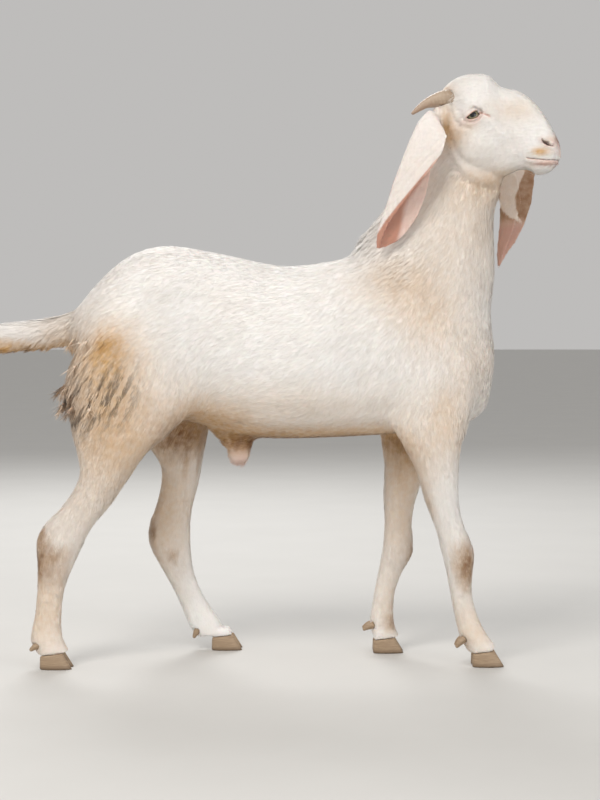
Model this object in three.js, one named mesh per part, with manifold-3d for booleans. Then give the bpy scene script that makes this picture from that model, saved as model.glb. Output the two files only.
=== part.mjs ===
// A young long-eared buck goat at life size: Roman nose, hanging leaf-shaped ears, short
// horns swept back, standing square-footed with its head held high and turned a little to
// its right. Millimetres, +X towards the nose, +Y to the animal's left, +Z up, the soles on Z = 0.
//
// The flesh is lofted limb by limb, fused into one body and then parted with thin curved or
// flat sheets, so that neighbouring pieces meet face to face.
import * as THREE from "three";
import { LoftGeometry } from "three/addons/geometries/LoftGeometry.js";
import { mergeVertices } from "three/addons/utils/BufferGeometryUtils.js";
import Module from "manifold-3d";

const wasm = await Module();
wasm.setup();

// ---------------------------------------------------------------- driving dimensions
const parting = 0.3; // gap left between neighbouring pieces
const shoulderHalfWidth = 60; // from the midline to the middle of a fore leg
const hipHalfWidth = 50; // from the midline to the middle of a haunch
const barrelHalfWidth = 96;
const neckHalfWidth = 48;
const skullHalfWidth = 45;
const muzzleHalfWidth = 25;
const headTurn = THREE.MathUtils.degToRad(-14); // the nose points to the animal's right
const headPivot = new THREE.Vector2(302, 0); // the head turns about this upright line
const turnStarts = 660; // height at which the neck begins to turn
const turnEnds = 770; // height above which the head turns as one
const eyeRadius = 15;
const eyeCentre = new THREE.Vector3(340, 32, 868);
const clawLength = 52;
const clawHalfWidth = 10;
const clawSplit = 3; // gap between the two claws of a foot
const coronetHeight = 23;

// ---------------------------------------------------------------- materials
const finish = (color, roughness) =>
  new THREE.MeshStandardMaterial({ color, roughness, metalness: 0 });
const coat = finish(0xeee4d8, 0.85);
const innerEar = finish(0xe6c6b6, 0.8);
const horn = finish(0xb59a7d, 0.55);
const claw = finish(0xa98d70, 0.6);
const eyeball = finish(0x4c4a38, 0.1);
const skin = finish(0xdcb59f, 0.75);

// ---------------------------------------------------------------- solids
// A closed three.js geometry as a manifold-3d solid, with its shared vertices merged.
function solid(geometry) {
  const plain = geometry.index ? geometry.toNonIndexed() : geometry.clone();
  for (const name of ["normal", "uv"]) plain.deleteAttribute(name);
  const merged = mergeVertices(plain, 1e-3);
  return new wasm.Manifold(
    new wasm.Mesh({
      numProp: 3,
      vertProperties: merged.attributes.position.array,
      triVerts: new Uint32Array(merged.index.array),
    }),
  );
}

const join = (solids) => solids.reduce((whole, next) => whole.add(next));

function mesh(name, body, material) {
  const { vertProperties, triVerts } = body.getMesh();
  const geometry = new THREE.BufferGeometry()
    .setAttribute("position", new THREE.BufferAttribute(vertProperties.slice(), 3))
    .setIndex(new THREE.BufferAttribute(triVerts.slice(), 1));
  geometry.computeVertexNormals();
  const made = new THREE.Mesh(geometry, material);
  made.name = name;
  return made;
}

// Applies move(point) to every vertex of a geometry.
function bend(geometry, move) {
  const position = geometry.getAttribute("position");
  const point = new THREE.Vector3();
  for (let i = 0; i < position.count; i += 1) {
    move(point.fromBufferAttribute(position, i));
    position.setXYZ(i, point.x, point.y, point.z);
  }
  return geometry;
}

// ---------------------------------------------------------------- lofts through stations
// A station is one slice of a limb: `front` and `back` are the [x, z] ends of the slice in
// side view (top and bottom on the trunk and tail), `wide` is half its width, `y` how far it
// stands from the midline, and `egg` makes it wider towards the front (+) or the back (-).
function slices(stations, ringsBetween) {
  const curve = (pick) => new THREE.CatmullRomCurve3(stations.map(pick));
  const fronts = curve((s) => new THREE.Vector3(s.front[0], s.y ?? 0, s.front[1]));
  const backs = curve((s) => new THREE.Vector3(s.back[0], s.y ?? 0, s.back[1]));
  const shapes = curve((s) => new THREE.Vector3(s.wide, s.egg ?? 0, 0));
  const count = (stations.length - 1) * ringsBetween;
  return Array.from({ length: count + 1 }, (_, i) => ({
    front: fronts.getPoint(i / count),
    back: backs.getPoint(i / count),
    shape: shapes.getPoint(i / count),
  }));
}

function loft(stations, { sides = 16, ringsBetween = 2, square = 2.2 } = {}) {
  const rings = slices(stations, ringsBetween);
  const first = rings[0];
  const last = rings[rings.length - 1];
  const along = last.front.clone().add(last.back).sub(first.front).sub(first.back);
  const across = new THREE.Vector3();
  for (const ring of rings) across.add(ring.front).sub(ring.back);
  const handed = Math.sign(along.clone().cross(across).y) || 1;
  const power = 2 / square;
  const sections = rings.map(({ front, back, shape }) => {
    const middle = front.clone().add(back).multiplyScalar(0.5);
    const reach = front.clone().sub(back).multiplyScalar(0.5);
    return Array.from({ length: sides }, (_, j) => {
      const turn = (j / sides) * 2 * Math.PI;
      const c = Math.cos(turn);
      const s = Math.sin(turn);
      const out = Math.sign(s) * Math.abs(s) ** power * shape.x * (1 + shape.y * c);
      return middle
        .clone()
        .addScaledVector(reach, Math.sign(c) * Math.abs(c) ** power)
        .add(new THREE.Vector3(0, out * handed, 0));
    });
  });
  return new LoftGeometry(sections, { capStart: true, capEnd: true });
}

const mirrored = (stations, side) => stations.map((s) => ({ ...s, y: (s.y ?? 0) * side }));

// ---------------------------------------------------------------- the turn of the head
// The head turns as one about headPivot, and the neck follows it by degrees below.
function turned(point) {
  const share = THREE.MathUtils.smoothstep(point.z, turnStarts, turnEnds);
  const angle = headTurn * share;
  const x = point.x - headPivot.x;
  const y = point.y - headPivot.y;
  point.x = headPivot.x + x * Math.cos(angle) - y * Math.sin(angle);
  point.y = headPivot.y + x * Math.sin(angle) + y * Math.cos(angle);
  return point;
}

// ---------------------------------------------------------------- trunk and neck
const trunkStations = [
  { front: [-306, 556], back: [-306, 500], wide: 24 },
  { front: [-290, 580], back: [-290, 452], wide: 50 },
  { front: [-254, 621], back: [-254, 408], wide: 66 },
  { front: [-212, 652], back: [-212, 392], wide: 73, egg: 0.05 },
  { front: [-162, 665], back: [-162, 384], wide: 77, egg: 0.08 },
  { front: [-106, 659], back: [-106, 376], wide: 80, egg: -0.1 },
  { front: [-42, 646], back: [-42, 358], wide: 90, egg: -0.2 },
  { front: [30, 632], back: [30, 352], wide: barrelHalfWidth, egg: -0.25 },
  { front: [102, 640], back: [102, 354], wide: 94, egg: -0.25 },
  { front: [166, 650], back: [166, 357], wide: 86, egg: -0.25 },
  { front: [230, 650], back: [230, 362], wide: 76, egg: -0.2 },
  { front: [286, 620], back: [286, 371], wide: 64, egg: -0.1 },
  { front: [328, 580], back: [328, 380], wide: 52 },
  { front: [350, 550], back: [350, 398], wide: 40 },
  { front: [361, 528], back: [361, 436], wide: 28 },
  { front: [366, 506], back: [366, 470], wide: 12 },
];
const trunk = solid(loft(trunkStations, { sides: 18 }));

const neckStations = [
  { front: [343, 430], back: [112, 628], wide: 66, egg: 0.1 },
  { front: [364, 495], back: [140, 656], wide: 64, egg: 0.1 },
  { front: [361, 560], back: [162, 688], wide: 58, egg: 0.1 },
  { front: [368, 622], back: [184, 718], wide: 52, egg: 0.1 },
  { front: [365, 680], back: [208, 756], wide: neckHalfWidth, egg: 0.1 },
  { front: [367, 722], back: [230, 797], wide: 44, egg: 0.05 },
  { front: [378, 748], back: [254, 838], wide: 36 },
  { front: [374, 790], back: [286, 872], wide: 24 },
  { front: [356, 820], back: [312, 876], wide: 16 },
];
const neck = solid(bend(loft(neckStations, { sides: 16 }), turned));

// ---------------------------------------------------------------- head
const headStations = [
  { front: [272, 892], back: [290, 836], wide: 18 },
  { front: [284, 914], back: [309, 800], wide: 35 },
  { front: [307, 930], back: [327, 774], wide: 41 },
  { front: [333, 934], back: [352, 767], wide: skullHalfWidth - 1, egg: 0.12 },
  { front: [356, 930], back: [373, 768], wide: skullHalfWidth - 2, egg: 0.12 },
  { front: [373, 912], back: [391, 773], wide: 38, egg: 0.02 },
  { front: [397, 906], back: [408, 779], wide: 33, egg: -0.05 },
  { front: [420, 892], back: [420, 779], wide: 29, egg: -0.08 },
  { front: [440, 870], back: [431, 773], wide: 26.5, egg: -0.1 },
  { front: [453, 848], back: [446, 774], wide: muzzleHalfWidth, egg: -0.06 },
  { front: [461, 833], back: [456, 779], wide: 22 },
  { front: [467, 818], back: [463, 789], wide: 15 },
  { front: [469, 809], back: [468, 797], wide: 6 },
];

// Forms raised (+) or sunk (-) on both sides of the head: where, how far they reach, how much.
const headForms = [
  { name: "brow ridge", at: [338, 44, 890], reach: [24, 20, 12], rise: 5 },
  { name: "eye and lids", at: [341, 44, 868], reach: [19, 18, 15], rise: 4.5 },
  { name: "hollow under the eye", at: [352, 42, 846], reach: [22, 16, 10], rise: -3 },
  { name: "cheek bone", at: [318, 44, 846], reach: [26, 16, 9], rise: 3 },
  { name: "temple hollow", at: [305, 40, 886], reach: [12, 14, 10], rise: -3 },
  { name: "root of the ear", at: [288, 34, 862], reach: [15, 16, 17], rise: 7 },
  { name: "chewing muscle", at: [334, 42, 802], reach: [30, 26, 34], rise: 8 },
  { name: "hollow before the cheek", at: [388, 34, 812], reach: [18, 18, 20], rise: -5 },
  { name: "hollow beside the nose", at: [398, 30, 858], reach: [22, 16, 16], rise: -4 },
  { name: "nose bridge", at: [415, 0, 896], reach: [26, 14, 14], rise: 1 },
  { name: "nostril wing", at: [453, 18, 828], reach: [12, 9, 9], rise: 3.5 },
  { name: "cheek of the nostril", at: [436, 25, 838], reach: [12, 10, 10], rise: -1.5 },
  { name: "upper lip", at: [444, 24, 805], reach: [22, 12, 9], rise: 3.2 },
  { name: "lower lip", at: [446, 20, 784], reach: [18, 14, 7], rise: 2 },
  { name: "corner of the mouth", at: [414, 28, 796], reach: [8, 10, 8], rise: -2 },
  { name: "chin groove", at: [402, 0, 770], reach: [12, 26, 12], rise: -4 },
  { name: "chin", at: [432, 0, 770], reach: [14, 16, 10], rise: 2 },
];

// Raises each vertex along its own normal by the forms that reach it.
function sculpt(geometry, forms) {
  const loose = geometry.toNonIndexed();
  for (const name of ["normal", "uv"]) loose.deleteAttribute(name);
  const smooth = mergeVertices(loose, 1e-3);
  smooth.computeVertexNormals();
  const position = smooth.getAttribute("position");
  const normals = smooth.getAttribute("normal");
  const point = new THREE.Vector3();
  const normal = new THREE.Vector3();
  for (let i = 0; i < position.count; i += 1) {
    point.fromBufferAttribute(position, i);
    normal.fromBufferAttribute(normals, i);
    let rise = 0;
    for (const form of forms) {
      const dx = (point.x - form.at[0]) / form.reach[0];
      const dy = (Math.abs(point.y) - form.at[1]) / form.reach[1];
      const dz = (point.z - form.at[2]) / form.reach[2];
      rise += form.rise * Math.exp(-(dx * dx + dy * dy + dz * dz));
    }
    position.setXYZ(i, ...point.addScaledVector(normal, rise).toArray());
  }
  return smooth;
}

// A plug lofted outwards from the midline through outlines that lie in planes of constant y.
function plug(outlines, side) {
  const sections = outlines.map(({ y, points }) => {
    const ring = points.map(([x, z]) => new THREE.Vector3(x, y * side, z));
    return side > 0 ? ring.reverse() : ring;
  });
  return new LoftGeometry(sections, { capStart: true, capEnd: true });
}

// The almond between the lids, slanting up towards the nose.
const lidLength = 12.5;
const lidHeight = 6.2;
const lidSlant = THREE.MathUtils.degToRad(30);
function almond(scale, corners = 16) {
  return Array.from({ length: corners }, (_, i) => {
    const turn = (i / corners) * 2 * Math.PI;
    const along = Math.cos(turn) * lidLength * scale;
    const up = Math.sin(turn) * Math.abs(Math.sin(turn)) ** 0.35 * lidHeight * scale;
    return [
      eyeCentre.x + along * Math.cos(lidSlant) - up * Math.sin(lidSlant),
      eyeCentre.z + along * Math.sin(lidSlant) + up * Math.cos(lidSlant),
    ];
  });
}

// A slit of even thickness that follows a path in side view, between two distances from the
// midline.
function slit(path, thickness, ya, yb) {
  const [y0, y1] = [Math.min(ya, yb), Math.max(ya, yb)];
  const upper = path.map(([x, z]) => new THREE.Vector2(x, z + thickness / 2));
  const lower = path.map(([x, z]) => new THREE.Vector2(x, z - thickness / 2)).reverse();
  const band = new THREE.ExtrudeGeometry(new THREE.Shape([...upper, ...lower]), {
    depth: y1 - y0,
    bevelEnabled: false,
  });
  // The shape lies in X and Z, and its depth runs along Y.
  return band.rotateX(Math.PI / 2).translate(0, y1, 0);
}

// A form drawn on a head that faces straight ahead, turned with the head.
const onHead = (geometry) => solid(bend(geometry, turned));

const head = onHead(sculpt(loft(headStations, { sides: 26 }), headForms));

// The eye sockets, the openings between the lids, the nostrils and the parting of the lips.
const mouthPath = [
  [417, 798],
  [427, 795],
  [440, 794.5],
  [456, 795.5],
  [480, 796.5],
];
const lipGap = 1.6;
const lipDepth = muzzleHalfWidth - 8; // how near the parting comes to the midline

function headOpenings(side) {
  const socket = new THREE.SphereGeometry(eyeRadius + parting, 12, 8);
  socket.translate(eyeCentre.x, eyeCentre.y * side, eyeCentre.z);
  const lids = [
    { y: eyeCentre.y + 6, points: almond(0.8) },
    { y: eyeCentre.y + 12, points: almond(0.95) },
    { y: eyeCentre.y + 26, points: almond(1.25) },
  ];
  const nostril = [
    { y: 8, points: commaAt(0.5) },
    { y: 20, points: commaAt(1) },
    { y: 34, points: commaAt(1.1) },
  ];
  const lips = slit(mouthPath, lipGap, side * lipDepth, side * (muzzleHalfWidth + 14));
  return [socket, plug(lids, side), plug(nostril, side), lips].map(onHead);
}

function lipFront() {
  return onHead(slit(mouthPath.slice(-2), lipGap, -muzzleHalfWidth, muzzleHalfWidth));
}

// A comma-shaped nostril, wider at its rear end.
function commaAt(scale) {
  const middle = [450.5, 819.5];
  const length = 9.5 * scale;
  const height = 2.6 * scale;
  const slope = THREE.MathUtils.degToRad(-30);
  return Array.from({ length: 12 }, (_, i) => {
    const turn = (i / 12) * 2 * Math.PI;
    const along = Math.cos(turn) * length;
    const fat = height * (1 - 0.35 * Math.cos(turn));
    const up = Math.sin(turn) * fat - 0.02 * along * along;
    return [
      middle[0] + along * Math.cos(slope) - up * Math.sin(slope),
      middle[1] + along * Math.sin(slope) + up * Math.cos(slope),
    ];
  });
}

// ---------------------------------------------------------------- horns
const hornPath = [
  [303, 20, 892],
  [289, 26, 894],
  [276, 31, 891],
  [263, 35, 886],
  [251, 39, 878],
  [239, 43, 868],
];
const hornRadii = [11.5, 11, 9.2, 7.2, 5.2, 2.2];
const leftHornLift = 0.85; // the left horn curves down less, by this times the point's number squared

// A tapered round rod through a few points, radii given at the same places.
function rod(path, radii) {
  const sides = path.length * 2 - 2;
  const steps = path.length + 1;
  const line = new THREE.CatmullRomCurve3(path.map((p) => new THREE.Vector3(...p)));
  const thick = new THREE.CatmullRomCurve3(radii.map((r, i) => new THREE.Vector3(r, i, 0)));
  const sections = Array.from({ length: steps + 1 }, (_, i) => {
    const at = line.getPoint(i / steps);
    const along = line.getTangent(i / steps);
    const side = new THREE.Vector3(0, 1, 0).cross(along).normalize();
    const other = along.clone().cross(side);
    const radius = thick.getPoint(i / steps).x;
    return Array.from({ length: sides }, (_, j) => {
      const turn = (j / sides) * 2 * Math.PI;
      return at
        .clone()
        .addScaledVector(side, Math.cos(turn) * radius)
        .addScaledVector(other, Math.sin(turn) * radius);
    });
  });
  return new LoftGeometry(sections, { capStart: true, capEnd: true });
}

// ---------------------------------------------------------------- ears
// Each ear hangs from a short stalk and is folded lengthwise along its back edge: `fold` is
// that edge, `outer` and `inner` are how wide the two lobes reach forward from it, `apart`
// is half the space between them and `thick` the thickness of the leaf.
const rightEar = [
  { fold: [292, -14, 850], outer: 20, inner: 20, apart: 15, thick: 10 },
  { fold: [275, -34, 868], outer: 28, inner: 26, apart: 17, thick: 8 },
  { fold: [255, -50, 871], outer: 38, inner: 28, apart: 18, thick: 5 },
  { fold: [238, -59, 852], outer: 50, inner: 32, apart: 17, thick: 4 },
  { fold: [224, -63, 822], outer: 54, inner: 42, apart: 16, thick: 3.6 },
  { fold: [211, -65, 789], outer: 46, inner: 50, apart: 15, thick: 3.4 },
  { fold: [199, -65, 757], outer: 33, inner: 55, apart: 13, thick: 3.2 },
  { fold: [189, -64, 724], outer: 21, inner: 53, apart: 11, thick: 3 },
  { fold: [180, -63, 698], outer: 13, inner: 46, apart: 8, thick: 3 },
  { fold: [175, -62, 680], outer: 10, inner: 39, apart: 6, thick: 2.6 },
  { fold: [173.5, -61, 668], outer: 8, inner: 32, apart: 4.5, thick: 2.2 },
  { fold: [173.5, -60, 660], outer: 6, inner: 24, apart: 3.5, thick: 2 },
  { fold: [174.5, -60, 655], outer: 4, inner: 13, apart: 3, thick: 1.8 },
];
const leftEar = [
  { fold: [283, 16, 852], outer: 20, inner: 20, apart: 15, thick: 10 },
  { fold: [295, 40, 852], outer: 28, inner: 26, apart: 17, thick: 8 },
  { fold: [312, 57, 838], outer: 36, inner: 28, apart: 18, thick: 5 },
  { fold: [334, 67, 816], outer: 48, inner: 32, apart: 17, thick: 4 },
  { fold: [357, 72, 790], outer: 67, inner: 36, apart: 16, thick: 3.6 },
  { fold: [374, 73, 762], outer: 72, inner: 36, apart: 15, thick: 3.4 },
  { fold: [381, 71, 733], outer: 53, inner: 33, apart: 13, thick: 3.2 },
  { fold: [380, 68, 704], outer: 42, inner: 26, apart: 11, thick: 3 },
  { fold: [377, 65, 674], outer: 29, inner: 18, apart: 7, thick: 3 },
  { fold: [375, 62, 650], outer: 15, inner: 10, apart: 5, thick: 2.6 },
  { fold: [376, 60, 632], outer: 5, inner: 5, apart: 3, thick: 1.8 },
];

function ear(stations, side) {
  const across = 4; // points from the fold to each edge
  const count = stations.length - 1;
  const curve = (pick) => new THREE.CatmullRomCurve3(stations.map(pick));
  const folds = curve((s) => new THREE.Vector3(...s.fold));
  const lobes = curve((s) => new THREE.Vector3(s.outer, s.inner, s.apart));
  const thicks = curve((s) => new THREE.Vector3(s.thick, s.fold[2], 0));
  const sections = Array.from({ length: count + 1 }, (_, i) => {
    const at = folds.getPoint(i / count);
    const along = folds.getTangent(i / count);
    const out = new THREE.Vector3(0, side, 0).addScaledVector(along, -along.y * side).normalize();
    const forward = along.clone().cross(out).multiplyScalar(side);
    const { x: outer, y: inner, z: apart } = lobes.getPoint(i / count);
    const thick = thicks.getPoint(i / count).x;
    const place = (f, o) => at.clone().addScaledVector(forward, f).addScaledVector(out, o);
    const reach = (u) => (u > 0 ? outer : inner);
    const steps = Array.from({ length: 2 * across + 1 }, (_, j) => (j - across) / across);
    const outside = steps.map((u) => place(reach(u) * u * u, apart * u));
    const inside = steps.map((u) =>
      place(thick + (reach(u) - thick) * u * u, (apart - thick * (1 - 0.4 * Math.abs(u))) * u),
    );
    const ring = [...outside, ...inside.reverse()];
    return side < 0 ? ring.reverse() : ring;
  });
  return new LoftGeometry(sections, { capStart: true, capEnd: true });
}

// ---------------------------------------------------------------- legs
// Stations are drawn in the stance of the right leg, and a stance is the line of its joints.
// `bone` says which bone a slice follows when the leg takes another stance: bone 1 joins the
// first two joints, 0 stays with the trunk, and a fraction is shared by two bones.
const hindStance = [
  [-209, 544],
  [-151, 397],
  [-321, 192],
  [-341, 38],
  [-310, 10],
];
const hindStations = [
  { front: [-140, 642], back: [-236, 622], wide: 14, y: 26, bone: 0 },
  { front: [-126, 572], back: [-270, 556], wide: 34, y: 42, egg: -0.2, bone: 0.3 },
  { front: [-104, 497], back: [-301, 490], wide: 40, y: 47, egg: -0.25, bone: 0.6 },
  { front: [-100, 430], back: [-316, 430], wide: 41, y: hipHalfWidth, egg: -0.2, bone: 0.9 },
  { front: [-126, 384], back: [-307, 376], wide: 37, y: 55, egg: -0.1, bone: 1.5 },
  { front: [-180, 340], back: [-296, 334], wide: 33, y: 62, bone: 2 },
  { front: [-216, 293], back: [-292, 298], wide: 28, y: 66, bone: 2 },
  { front: [-243, 252], back: [-319, 254], wide: 23, y: 70, bone: 2 },
  { front: [-268, 221], back: [-346, 225], wide: 20, y: 73, bone: 2 },
  { front: [-285, 190], back: [-358, 202], wide: 21, y: 75, bone: 2.5 },
  { front: [-299, 160], back: [-357, 168], wide: 18.5, y: 77, bone: 3 },
  { front: [-313, 124], back: [-357, 124], wide: 14.5, y: 79, bone: 3 },
  { front: [-318, 80], back: [-361, 80], wide: 14.5, y: 81, bone: 3 },
  { front: [-316, 48], back: [-368, 44], wide: 18, y: 82, bone: 3.5 },
  { front: [-306, 27], back: [-353, 18], wide: 19, y: 82, bone: 4 },
];
const foreStance = [
  [211, 591],
  [230, 380],
  [303, 176],
  [322, 46],
  [355, 12],
];
const foreStations = [
  { front: [246, 634], back: [160, 626], wide: 12, y: 28, bone: 0 },
  { front: [274, 572], back: [180, 572], wide: 24, y: 45, bone: 0 },
  { front: [318, 500], back: [188, 497], wide: 32, y: 50, bone: 0 },
  { front: [336, 442], back: [190, 422], wide: 33, y: 53, bone: 1.3 },
  { front: [326, 390], back: [200, 366], wide: 31, y: 56, bone: 1.6 },
  { front: [309, 347], back: [219, 338], wide: 28, y: shoulderHalfWidth, bone: 2 },
  { front: [305, 309], back: [236, 305], wide: 25, y: shoulderHalfWidth, bone: 2 },
  { front: [305, 262], back: [248, 262], wide: 21, y: shoulderHalfWidth, bone: 2 },
  { front: [313, 222], back: [264, 222], wide: 19, y: 61, bone: 2 },
  { front: [329, 181], back: [276, 181], wide: 21.5, y: 61, bone: 2.5 },
  { front: [326, 146], back: [284, 148], wide: 17, y: 62, bone: 3 },
  { front: [326, 109], back: [291, 109], wide: 13.5, y: 62, bone: 3 },
  { front: [336, 76], back: [298, 74], wide: 14.5, y: 62, bone: 3 },
  { front: [349, 50], back: [306, 44], wide: 18, y: 62, bone: 3.5 },
  { front: [364, 31], back: [322, 18], wide: 19, y: 62, bone: 4 },
];

const legs = [
  {
    name: "hind_right",
    side: -1,
    drawn: hindStance,
    stance: hindStance,
    stations: hindStations,
    heel: -352,
    y: 82,
  },
  {
    name: "hind_left",
    side: 1,
    drawn: hindStance,
    stance: [[-219, 534], [-84, 448], [-160, 182], [-103, 40], [-70, 10]],
    stations: hindStations,
    heel: -92,
    y: 82,
  },
  {
    name: "fore_right",
    side: -1,
    drawn: foreStance,
    stance: foreStance,
    stations: foreStations,
    heel: 324,
    y: 62,
  },
  {
    name: "fore_left",
    side: 1,
    drawn: foreStance,
    stance: [[211, 591], [209, 380], [214, 172], [184, 44], [204, 12]],
    stations: foreStations,
    heel: 173,
    y: 56,
  },
];

// Moves an [x, z] point with bone number n (1 is the first bone) from one stance to another.
function carried([x, z], n, from, to) {
  if (n < 1) return new THREE.Vector2(x, z);
  const root = new THREE.Vector2(...from[n - 1]);
  const turn =
    new THREE.Vector2(...to[n]).sub(new THREE.Vector2(...to[n - 1])).angle() -
    new THREE.Vector2(...from[n]).sub(root).angle();
  return new THREE.Vector2(x, z)
    .sub(root)
    .rotateAround(new THREE.Vector2(), turn)
    .add(new THREE.Vector2(...to[n - 1]));
}

function stood(point, bone, from, to) {
  const low = Math.floor(bone);
  const near = carried(point, low, from, to);
  if (low === bone) return near.toArray();
  return near.lerp(carried(point, low + 1, from, to), bone - low).toArray();
}

function standing(leg) {
  const lowest = leg.stations[leg.stations.length - 1].y;
  return leg.stations.map((s) => ({
    ...s,
    front: stood(s.front, s.bone, leg.drawn, leg.stance),
    back: stood(s.back, s.bone, leg.drawn, leg.stance),
    y: (s.y * leg.y) / lowest,
  }));
}

// A foot: two claws with flat soles, side by side.
function clawStations(heel) {
  const lean = 0.62; // how far the toe wall leans back for each millimetre of height
  return [0, 10, 22, 36].map((z) => ({
    front: [heel + clawLength - lean * z, z],
    back: [heel + 0.05 * z, z],
    wide: clawHalfWidth - 0.06 * z,
    egg: -0.1,
  }));
}

const coronetSlope = THREE.MathUtils.degToRad(7);

// A thin flat sheet at a point, square to a direction.
function sheet(at, direction, width, depth, thickness = parting) {
  const plate = new THREE.BoxGeometry(width, depth, thickness);
  plate.applyQuaternion(
    new THREE.Quaternion().setFromUnitVectors(
      new THREE.Vector3(0, 0, 1),
      new THREE.Vector3(...direction).normalize(),
    ),
  );
  return plate.translate(...at);
}

const flesh = [trunk, neck, head]; // solids to be fused
const cuts = [...headOpenings(1), ...headOpenings(-1), lipFront()]; // taken out of the flesh
const nodes = []; // { name, at, material }: a piece of the parted flesh, `at` lies inside it
const fittings = []; // { name, body, material }: a piece that sits in a socket in the flesh

// Adds a rod that sits in a socket of its own shape, with a gap of one parting all round.
function fit(name, path, radii, material, place = (point) => point) {
  const wider = radii.map((r) => r + parting);
  const [root, next] = path.slice(0, 2).map((p) => new THREE.Vector3(...p));
  const deeper = root.clone().add(root.clone().sub(next).setLength(parting)).toArray();
  cuts.push(solid(bend(rod([deeper, ...path.slice(1)], wider), place)));
  fittings.push({ name, body: solid(bend(rod(path, radii), place)), material });
}

// The two claws of a foot, their soles on the floor.
function addClaws(leg) {
  for (const half of [-1, 1]) {
    const y = leg.side * leg.y + half * (clawHalfWidth + clawSplit / 2);
    const wall = clawStations(leg.heel).map((s) => ({ ...s, y }));
    flesh.push(solid(loft(wall, { sides: 12, ringsBetween: 1, square: 2.5 })));
    nodes.push({
      name: `${leg.name}_claw_${half * leg.side > 0 ? "outer" : "inner"}`,
      at: [leg.heel + clawLength / 2, y, coronetHeight / 3],
      material: claw,
    });
  }
}

// The two dewclaws behind the fetlock.
function addDewclaws(leg, fetlock, shin) {
  for (const half of [-1, 1]) {
    const at = (back, down, out) => [
      fetlock[0] - shin.y * back - shin.x * down,
      leg.side * leg.y + half * out,
      fetlock[1] + shin.x * back - shin.y * down,
    ];
    const name = `${leg.name}_dewclaw_${half * leg.side > 0 ? "outer" : "inner"}`;
    fit(name, [at(8, 0, 8), at(17, 5, 9.5), at(25, 13, 10)], [7, 6.4, 3.4], claw);
  }
}

function addLeg(leg) {
  const y = leg.side * leg.y;
  // The limb ends at the sloping coronet, where the claws begin.
  const up = [-Math.sin(coronetSlope), 0, Math.cos(coronetSlope)];
  const coronet = [leg.heel + clawLength / 3, y, coronetHeight];
  const below = coronet.map((v, i) => v - up[i] * 40);
  const limb = solid(loft(mirrored(standing(leg), leg.side), { sides: 12 }));
  flesh.push(limb.subtract(solid(sheet(below, up, 160, 90, 80))));
  cuts.push(solid(sheet(coronet, up, 120, 70)));
  addClaws(leg);

  // It is parted above the knee or hock and across the fetlock.
  const [upper, joint, fetlock] = leg.stance.slice(-4, -1);
  const thigh = new THREE.Vector2(upper[0] - joint[0], upper[1] - joint[1]).normalize();
  const shin = new THREE.Vector2(joint[0] - fetlock[0], joint[1] - fetlock[1]).normalize();
  const overJoint = [joint[0] + thigh.x * 30, y, joint[1] + thigh.y * 30];
  cuts.push(solid(sheet(overJoint, [thigh.x, 0, thigh.y], 120, 100)));
  cuts.push(solid(sheet([fetlock[0], y, fetlock[1] + 8], [shin.x, 0, shin.y], 90, 70)));
  addDewclaws(leg, fetlock, shin);

  const between = (a, b, share) => [a[0] + (b[0] - a[0]) * share, y, a[1] + (b[1] - a[1]) * share];
  const upperName = leg.name.startsWith("hind") ? "gaskin" : "forearm";
  nodes.push(
    { name: `${leg.name}_${upperName}`, at: between(upper, joint, 0.55), material: coat },
    { name: `${leg.name}_cannon`, at: between(joint, fetlock, 0.5), material: coat },
    { name: `${leg.name}_pastern`, at: [leg.heel + 18, y, coronetHeight + 6], material: coat },
  );
}

legs.forEach(addLeg);

// ---------------------------------------------------------------- tail, sheath and scrotum
const tailStations = [
  { front: [-286, 578], back: [-286, 498], wide: 24 },
  { front: [-312, 559], back: [-312, 502], wide: 20 },
  { front: [-346, 549], back: [-346, 501], wide: 17 },
  { front: [-386, 545], back: [-388, 498], wide: 16 },
  { front: [-424, 541], back: [-428, 488], wide: 15 },
  { front: [-452, 528], back: [-454, 494], wide: 10 },
  { front: [-466, 514], back: [-466, 506], wide: 3 },
];
flesh.push(solid(loft(tailStations, { sides: 10 })));
cuts.push(solid(sheet([-314, 0, 532], [1, 0, -0.1], 90, 70)));

const sheathStations = [
  { front: [-4, 366], back: [-96, 372], wide: 20 },
  { front: [-14, 352], back: [-84, 354], wide: 15 },
  { front: [-24, 338], back: [-62, 338], wide: 13 },
  { front: [-26, 324], back: [-60, 324], wide: 14 },
  { front: [-36, 313], back: [-50, 313], wide: 7 },
];
flesh.push(solid(loft(sheathStations, { sides: 10 })));
cuts.push(solid(sheet([-45, 0, 346], [0, 0, 1], 110, 60)));

const scrotumStations = [
  { front: [-215, 410], back: [-262, 410], wide: 9 },
  { front: [-222, 372], back: [-256, 372], wide: 8 },
  { front: [-218, 340], back: [-262, 340], wide: 15 },
  { front: [-224, 316], back: [-258, 316], wide: 14 },
  { front: [-236, 304], back: [-248, 304], wide: 6 },
];
flesh.push(solid(loft(scrotumStations, { sides: 10 })));

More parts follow.
